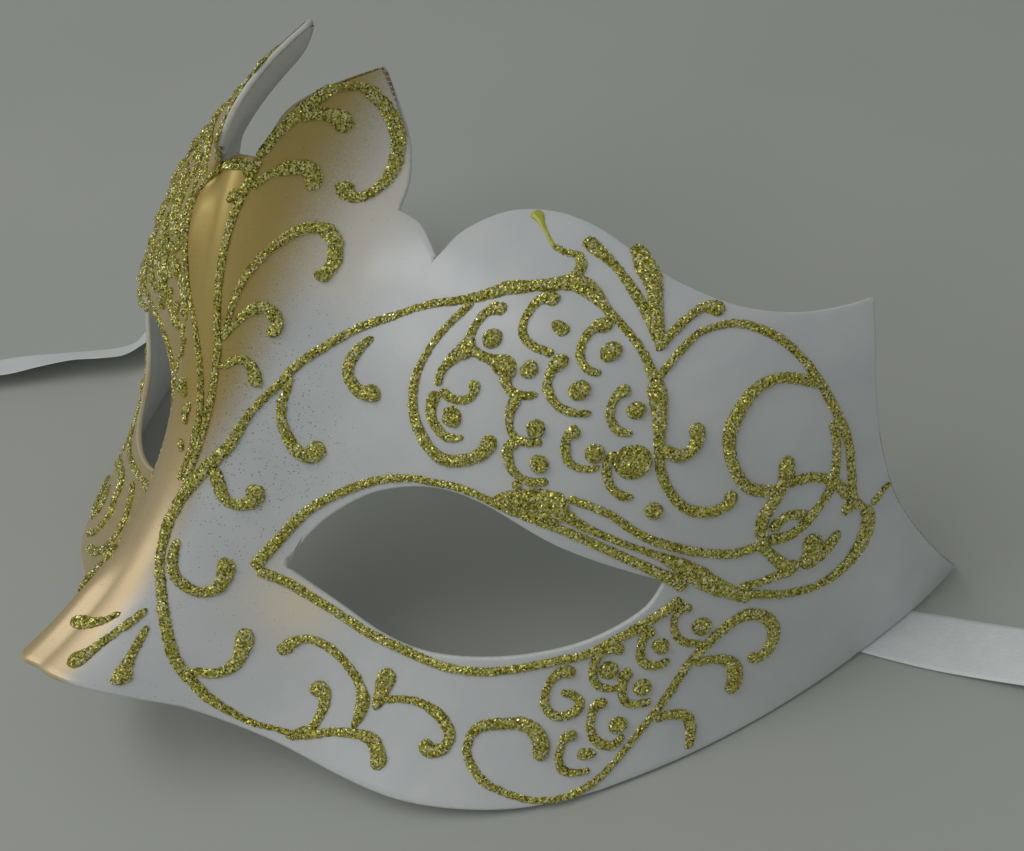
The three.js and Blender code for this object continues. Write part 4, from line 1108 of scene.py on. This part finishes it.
def bead_mesh(strokes, sign, seed, grain=BEAD["grain"]):
    """All strokes of one half as closed grainy domes on the outer face."""
    random = np.random.default_rng(seed)
    angles = np.linspace(0, math.pi, BEAD["sides"] + 1)
    points, faces = [], []
    for stroke in strokes:
        middle, side, width = bead_rings(stroke, sign)
        rise = np.minimum(width * BEAD["rise"], BEAD["most_rise"])
        start = sum(len(p) for p in points)
        size = len(angles) + 2
        u, v, depth = (np.empty((len(middle), size)) for _ in range(3))
        jitter = random.uniform(-1, 1, (3, len(middle), size))
        for k, angle in enumerate(angles):
            offset = np.cos(angle) * width / 2
            u[:, k] = middle[:, 0] + side[:, 0] * offset
            v[:, k] = middle[:, 1] + side[:, 1] * offset
            depth[:, k] = -np.sin(angle) * rise
        for k, offset in ((size - 2, -width / 3), (size - 1, width / 3)):
            u[:, k] = middle[:, 0] + side[:, 0] * offset
            v[:, k] = middle[:, 1] + side[:, 1] * offset
            depth[:, k] = BEAD["sink"]
        skin = slice(0, len(angles))
        u[:, skin] += jitter[0][:, skin] * grain
        v[:, skin] += jitter[1][:, skin] * grain
        depth[:, skin] += jitter[2][:, skin] * grain - grain / 2
        points.append(shell_point(u.ravel(), v.ravel(), depth.ravel()))
        order = range(size)
        for i in range(len(middle) - 1):
            for k in order:
                a, b = start + i * size + k, start + i * size + (k + 1) % size
                ring = [a, b, b + size, a + size]
                faces.append(ring if sign < 0 else ring[::-1])
        first = [start + k for k in order]
        last = [start + (len(middle) - 1) * size + k for k in order]
        faces += [first[::-1], last] if sign < 0 else [first, last[::-1]]
    return np.vstack(points), faces


def dot_stroke(u, v, width):
    """A dot is a short stroke, so it gets the same grainy dome."""
    short = width / 2
    return [(u - short, v, width), (u, v, width), (u + short, v, width)]


def glitter_objects():
    glitter = glitter_material()
    halves = (("left_glitter", 1, LEFT_STROKES, DOTS, [NOSE_CROSS]),
              ("right_glitter", -1, RIGHT_STROKES, DOTS + RIGHT_OWN_DOTS + RIGHT_GUESSED_DOTS, []))
    for name, sign, strokes, dots, extra in halves:
        strokes = strokes + [dot_stroke(*dot) for dot in dots]
        points, faces = bead_mesh(strokes, sign, seed=5 + sign)
        for stroke in extra:
            more, more_faces = bead_mesh([stroke], 1, seed=9)
            faces += [[a + len(points) for a in ring] for ring in more_faces]
            points = np.vstack([points, more])
        piece = make_object(name, points, faces, [glitter], smooth=False)
        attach(piece, BODY)
    points, faces = bead_mesh([GLUE_DRIP], 1, seed=3, grain=0.02)
    drip = make_object("glue_drip", points, faces, [glue_material()])
    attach(drip, BODY)


# Stage

SKY = {"colour": (0.93, 0.97, 0.95), "strength": 0.26}
LIGHT_TARGET = (0, 0, 0.03)
LIGHTS = {
    "ceiling": {"place": (-0.14, -0.42, 1.0), "size": (0.9, 0.3), "power": 2.3,
                "colour": (1, 1, 0.98)},
    "window": {"place": (-0.35, -0.85, 0.75), "size": (0.6, 0.5), "power": 1.7,
               "colour": (0.98, 1, 1)},
}


def make_stage():
    half = FLOOR["half_width"]
    corners = [(-half, -half, 0), (half, -half, 0), (half, half, 0), (-half, half, 0)]
    mesh = bpy.data.meshes.new("floor")
    mesh.from_pydata(corners, [], [(0, 1, 2, 3)])
    mesh.materials.append(floor_material())
    floor = bpy.data.objects.new("floor", mesh)
    bpy.context.scene.collection.objects.link(floor)


def area_light(name, place, size, power, colour):
    """A soft rectangle of light that faces the middle of the mask."""
    data = bpy.data.lights.new(name, "AREA")
    data.shape = "RECTANGLE"
    data.size, data.size_y = size
    data.energy = power
    data.color = colour
    light = bpy.data.objects.new(name, data)
    light.location = place
    facing = Vector(LIGHT_TARGET) - Vector(place)
    light.rotation_euler = facing.to_track_quat("-Z", "Y").to_euler()
    bpy.context.scene.collection.objects.link(light)


def make_lights():
    world = bpy.data.worlds.new("studio")
    world.use_nodes = True
    background = world.node_tree.nodes["Background"]
    background.inputs["Color"].default_value = (*SKY["colour"], 1)
    background.inputs["Strength"].default_value = SKY["strength"]
    bpy.context.scene.world = world
    for name, light in LIGHTS.items():
        area_light(name, **light)


make_camera()
satin = satin_material()
for ribbon_name, ribbon_plan in RIBBONS.items():
    ribbon_object(ribbon_name, ribbon_plan, satin)
shell_object()
glitter_objects()
make_stage()
make_lights()
bpy.context.scene.view_settings.view_transform = "Standard"
